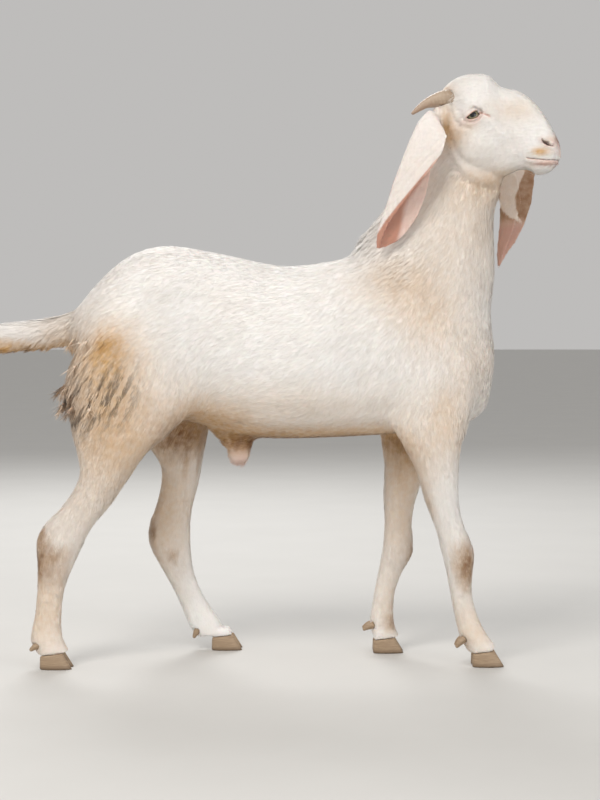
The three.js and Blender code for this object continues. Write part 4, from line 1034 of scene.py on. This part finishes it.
# Short white goat hair: each tuft has a soft gloss along it, and its sheen lights the edges.
coat, coat_shader = shader_of(
    "short_white_goat_hair", Roughness=0.58, IOR=1.55, Sheen_Weight=0.3, Sheen_Roughness=0.4,
    Subsurface_Weight=0.0,
)
tree = coat.node_tree
tone_share = node(tree, "ShaderNodeAttribute", attribute_name="tone").outputs["Fac"]
tone = node(tree, "ShaderNodeMapRange", {"Value": tone_share, "To Min": 0.93, "To Max": 1.02})
toned = node(
    tree, "ShaderNodeVectorMath",
    {0: hair_colour(tree, tips=True), "Scale": tone.outputs["Result"]}, operation="SCALE",
)
tree.links.new(toned.outputs[0], coat_shader.inputs["Base Color"])

# The hide's own unwrap gives every tuft its patch on the map that the coat's colours are kept on.
bpy.context.view_layer.objects.active = skin
skin.select_set(True)
bpy.ops.object.mode_set(mode="EDIT")
bpy.ops.mesh.select_all(action="SELECT")
bpy.ops.uv.smart_project(angle_limit=1.15, island_margin=0.001, scale_to_bounds=True)
bpy.ops.object.mode_set(mode="OBJECT")
skin.select_set(False)
skin_mesh = skin.data
skin_mesh.calc_loop_triangles()
count = len(skin_mesh.loop_triangles)
tri, tri_loops = np.empty(count * 3, np.int32), np.empty(count * 3, np.int32)
skin_mesh.loop_triangles.foreach_get("vertices", tri)
skin_mesh.loop_triangles.foreach_get("loops", tri_loops)
tri, tri_loops = tri.reshape(-1, 3), tri_loops.reshape(-1, 3)
unwrap = np.empty(len(skin_mesh.loops) * 2, np.float32)
skin_mesh.uv_layers.active.uv.foreach_get("vector", unwrap)
unwrap = unwrap.reshape(-1, 2)
skin_mesh.uv_layers.remove(skin_mesh.uv_layers.active)

# Roots are strewn over the hide's triangles, as thick as each region grows them, and sparsely
# on bare skin. Each takes its place, facing, stains, painted shade and length from its
# triangle's corners.
place = points_of(skin_mesh)
facing = unit(relaxed(skin_mesh, normals_of(skin_mesh), np.full(len(place), 3)))
a, b, c = (place[tri[:, k]] for k in range(3))
area = np.linalg.norm(np.cross(b - a, c - a), axis=1) / 2
middle = word[tri[:, 0]]
thick = np.array([growing[w][3] for w in middle]) * (1 - 0.97 * marks["bare"][tri].max(1))
count = (area / MM**2 * thick + seed.random(count)).astype(int)
host = np.repeat(np.arange(len(tri)), count)
u, v = seed.random((2, len(host)))
flip = u + v > 1
u[flip], v[flip] = 1 - u[flip], 1 - v[flip]
blend = np.stack([1 - u - v, u, v], 1)
root = (place[tri[host]] * blend[:, :, None]).sum(1)
outward = unit((facing[tri[host]] * blend[:, :, None]).sum(1))
root_map = (unwrap[tri_loops[host]] * blend[:, :, None]).sum(1)
root_word = middle[host]
root_marks = {mark: (depths[tri[host]] * blend).sum(1) for mark, depths in marks.items()}
grown = relaxed(skin_mesh, np.array([growing[w][:3] for w in word], float), np.full(len(place), 14))
grown = (grown[tri[host]] * blend[:, :, None]).sum(1)
told = head_spots(root) / MM
for spot, reach, longer in longer_hair:
    for side in (-1, 1) if spot[1] else (1,):
        off = (told - np.array(spot) * (1, side, 1)) / np.array(reach)
        nearness = np.exp(-(off**2).sum(1))[:, None] * (root_word != "ear")[:, None]
        grown += nearness * np.maximum(np.array(longer) - grown, 0)

# A few stiff whiskers stand out from the lips and chin.
whisker_share = 0.012
whisker = (14, 42, 0.35)  # length mm, lift degrees and width mm
muzzle = (told[:, 0] > 425) & (told[:, 2] < 812) & (root_word == "head")
grown[muzzle & (seed.random(len(root)) < whisker_share)] = whisker
way = combed(root)
way += 0.06 * np.stack([drift(root, 80) for _ in range(3)], 1)


net_span = 4000  # more cells than the goat is long, wide or high


def cell_of(points, facing, size):
    """A number for the cell of a net of the given size that each point lies in, with the two
    faces of a thin part kept apart."""
    steps = np.floor(points / size).astype(np.int64) + net_span // 4
    return ((steps[:, 0] * net_span + steps[:, 1]) * net_span + steps[:, 2]) * 2 + (facing[:, 1] > 0)


def mean_by(member, values):
    """The mean of values over each group that member names."""
    sums = np.stack([np.bincount(member, values[:, k]) for k in range(3)], 1)
    return sums / np.bincount(member)[:, None]


# Each cell's mean root and facing stand for the hide there. Where the roots of a cell lie
# further off that plane than crease_depth, the hide has a crease or a ridge.
cell = 4 * MM
crease_depth = 0.35 * MM
most_down, most_up = 3 * MM, 6 * MM  # how far a point of a tuft is moved at most
fall_followed = 0.6  # the share of the way back to a hide that falls off
cells, member = np.unique(cell_of(root, outward, cell), return_inverse=True)
cell_place = mean_by(member, root)
cell_facing = unit(mean_by(member, outward))
spread = np.abs(((root - cell_place[member]) * cell_facing[member]).sum(1))
creased = np.bincount(member, spread) / np.bincount(member) > crease_depth


def seated(points, facing, height):
    """Points drawn out to their height over the hide where it rises under them, and part of
    the way back to it where it falls off, unless it is creased there."""
    key = cell_of(points, facing, cell)
    found = np.searchsorted(cells, key).clip(max=len(cells) - 1)
    gap = ((points - cell_place[found]) * cell_facing[found]).sum(1)
    move = np.where(cells[found] == key, height - gap, 0).clip(-most_down, most_up)
    move *= np.where(move > 0, 1, np.where(creased[found], 0, fall_followed))
    return points + cell_facing[found] * move[:, None]


# Neighbouring tufts lean together into locks that share a tip, a tone and a stain.
long_from = 14.5  # mm from which hair hangs in the broader locks
fine_span, long_span = 4.5 * MM, 8 * MM  # how broad the locks are
long_hair = grown[:, 0] > long_from
wander = root + 3 * MM * np.stack([drift(root, 40) for _ in range(3)], 1)
fine_lock = np.unique(cell_of(wander, outward, fine_span), return_inverse=True)[1]
long_lock = np.unique(cell_of(wander, outward, long_span), return_inverse=True)[1]
lock = np.unique(np.where(long_hair, long_lock + len(root), fine_lock), return_inverse=True)[1]
limb = np.isin(root_word, ["gaskin", "forearm", "cannon", "pastern"])
lean = np.where(long_hair, 0.8, np.where(limb, 0.25, 0.5))[:, None]
gather = (mean_by(lock, root)[lock] - root) * lean
lock_count = lock.max() + 1
lock_lift = 1 + (seed.uniform(-0.5, 0.5, lock_count)[lock] * np.where(long_hair, 1, 0.5))
lock_way = seed.normal(0, 0.05, (lock_count, 3))[lock]
lock_tone = seed.random(lock_count)[lock]
streak_stretch = np.array([(0.9, 0, -0.09), (0, 1, 0), (-0.45, 0, -0.18)])  # long down the breech
streak = drift(root @ streak_stretch, 16)
streak += seed.normal(0, 0.5, lock_count)[lock]
root_marks["dark"] *= step(0.05, 0.6, streak)
root_marks["soil"] *= np.where(root_word == "ear", 1, np.interp(streak, [-0.6, 0.6], [0.6, 1.1]))
patch = 0.0015  # half the width of a tuft's patch on the coat's map
rooted = 0.4 * MM  # how deep a tuft starts under the hide
cleared = 0.25 * MM  # how far over the hide its length runs at least
taper = 0.7  # the share of its width that it loses before the tip


def coat_piece(name, chosen, rows):
    """One mesh of tapered tufts, each of `rows` lengths, rooted just under the hide."""
    size = int(chosen.sum())
    out, at = outward[chosen], root[chosen]
    length = grown[chosen, 0] * MM * seed.uniform(0.7, 1.2, size)
    lift = np.radians(grown[chosen, 1] * lock_lift[chosen] * seed.uniform(0.8, 1.2, size))
    width = grown[chosen, 2] * MM * seed.uniform(0.6, 1.2, size)
    lie = way[chosen] + lock_way[chosen] + seed.normal(0, 0.04, (size, 3))
    lie = unit(lie - out * (lie * out).sum(1)[:, None])
    side = unit(np.cross(lie, out) + out * seed.normal(0, 0.25, (size, 1)))
    per = 2 * rows + 1
    verts = np.empty((size, per, 3))
    along = np.empty(per)
    for k in range(rows + 1):
        s = k / rows
        forth = length * s * np.cos(lift)
        rise = length * np.sin(lift) * s * (1.3 - 0.5 * s)
        spine = at + lie * forth[:, None] + out * rise[:, None] + gather[chosen] * s**1.5
        spine = seated(spine, out, rise + cleared) if k else at - out * rooted
        half = side * (width * (1 - taper * s**1.5) / 2)[:, None]
        verts[:, 2 * k] = spine - half if k < rows else spine
        along[2 * k] = s
        if k < rows:
            verts[:, 2 * k + 1] = spine + half
            along[2 * k + 1] = s
    corner = []
    for k in range(rows - 1):
        corner += [(2 * k, 2 * k + 1, 2 * k + 3), (2 * k, 2 * k + 3, 2 * k + 2)]
    corner = np.array(corner + [(2 * rows - 2, 2 * rows - 1, 2 * rows)])
    index = (np.arange(size)[:, None, None] * per + corner[None]).reshape(-1, 3)
    mesh = bpy.data.meshes.new(name)
    mesh.vertices.add(size * per)
    mesh.vertices.foreach_set("co", verts.astype(np.float32).ravel())
    mesh.loops.add(index.size)
    mesh.loops.foreach_set("vertex_index", index.ravel().astype(np.int32))
    mesh.polygons.add(len(index))
    mesh.polygons.foreach_set("loop_start", np.arange(0, index.size, 3, dtype=np.int32))
    mesh.update(calc_edges=True)
    on_patch = np.stack([np.tile([-1.0, 1.0], rows + 1)[:per], 2 * along - 1], 1) * patch
    on_map = (root_map[chosen][:, None] + on_patch[None]).reshape(-1, 2)[index.ravel()]
    mesh.uv_layers.new(name="OFBake").uv.foreach_set("vector", on_map.astype(np.float32).ravel())
    for mark in ("ochre", "soil", "dark", "blush", "flush"):
        values = np.repeat(root_marks[mark][chosen], per)
        mesh.attributes.new(mark, "FLOAT", "POINT").data.foreach_set("value", values.astype(np.float32))
    values = np.tile(along, size)
    mesh.attributes.new("along", "FLOAT", "POINT").data.foreach_set("value", values.astype(np.float32))
    values = np.repeat(0.6 * lock_tone[chosen] + 0.4 * seed.random(size), per)
    mesh.attributes.new("tone", "FLOAT", "POINT").data.foreach_set("value", values.astype(np.float32))
    mesh.shade_smooth()
    leaning = unit(out + lock_way[chosen] + seed.normal(0, 0.1, (size, 3)))
    mesh.normals_split_custom_set_from_vertices(np.repeat(leaning, per, 0).astype(np.float32))
    mesh.materials.append(coat)
    made = piece(name, mesh)
    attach(made, "root")


trunk = np.isin(root_word, ["torso", "sheath", "scrotum"])
right = root[:, 1] < 0
behind = root[:, 0] < 0
coats = {
    "coat_long_right": long_hair & right,
    "coat_long_left": long_hair & ~right,
    "coat_rump_right": trunk & right & behind & ~long_hair,
    "coat_chest_right": trunk & right & ~behind & ~long_hair,
    "coat_rump_left": trunk & ~right & behind & ~long_hair,
    "coat_chest_left": trunk & ~right & ~behind & ~long_hair,
    "coat_neck": (root_word == "neck") & ~long_hair,
    "coat_head": (root_word == "head") & ~long_hair,
    "coat_ears": (root_word == "ear") & ~long_hair,
    "coat_hind_limbs": limb & behind & ~long_hair,
    "coat_fore_limbs": limb & ~behind & ~long_hair,
    "coat_tail": (root_word == "tail") & ~long_hair,
}
for name, chosen in coats.items():
    coat_piece(name, chosen, 4 if "long" in name else 2)

# ------------------------------------------------------------------ floor, light and camera
# A plain pale floor of matt board under soft studio light, seen from the goat's right side.
floor_mesh = bmesh.new()
bmesh.ops.create_grid(floor_mesh, x_segments=1, y_segments=1, size=30)
floor_data = bpy.data.meshes.new("floor")
floor_mesh.to_mesh(floor_data)
floor_mesh.free()
board, board_shader = shader_of("matt_pale_board", Roughness=0.8, IOR=1.5)
tree = board.node_tree
at = node(tree, "ShaderNodeTexCoord").outputs["Object"]
fleck = node(tree, "ShaderNodeTexNoise", {"Vector": at, "Scale": 1 / (200 * MM), "Detail": 3.0})
pale = node(
    tree, "ShaderNodeMix",
    {0: fleck.outputs["Fac"], 6: linear("#C9C8C5"), 7: linear("#CFCECB")}, data_type="RGBA",
)
tree.links.new(pale.outputs[2], board_shader.inputs["Base Color"])
floor_data.materials.append(board)
floor = piece("floor", floor_data)

world = bpy.data.worlds.new("studio")
bpy.context.scene.world = world
world.use_nodes = True
world.node_tree.nodes["Background"].inputs["Color"].default_value = linear("#F6F4F2")
world.node_tree.nodes["Background"].inputs["Strength"].default_value = 0.56
bpy.context.scene.view_settings.view_transform = "Standard"

for name, at, size, power, tint in (
    ("key", (-1.2, -2.2, 3.0), 1.5, 76, "#FFFBF6"),
    ("fill", (2.2, -2.6, 1.0), 2.2, 30, "#FFFFFF"),
    ("rim", (-0.5, 2.6, 2.6), 1.6, 60, "#FFFFFF"),
):
    light = bpy.data.lights.new(name, "AREA")
    light.size = size
    light.energy = power
    light.color = linear(tint)[:3]
    made = bpy.data.objects.new(name, light)
    made.location = at
    made.rotation_euler = (Vector((0, 0, 0.5)) - Vector(at)).to_track_quat("-Z", "Y").to_euler()
    bpy.context.scene.collection.objects.link(made)

camera = bpy.data.objects.new("camera", bpy.data.cameras.new("camera"))
camera.location = (0.0544, -2.85, 0.544)
aim = Vector((0.0544, 0, 0.416))
camera.rotation_euler = (aim - camera.location).to_track_quat("-Z", "Y").to_euler()
camera.data.lens = 80.2
bpy.context.scene.collection.objects.link(camera)
bpy.context.scene.camera = camera
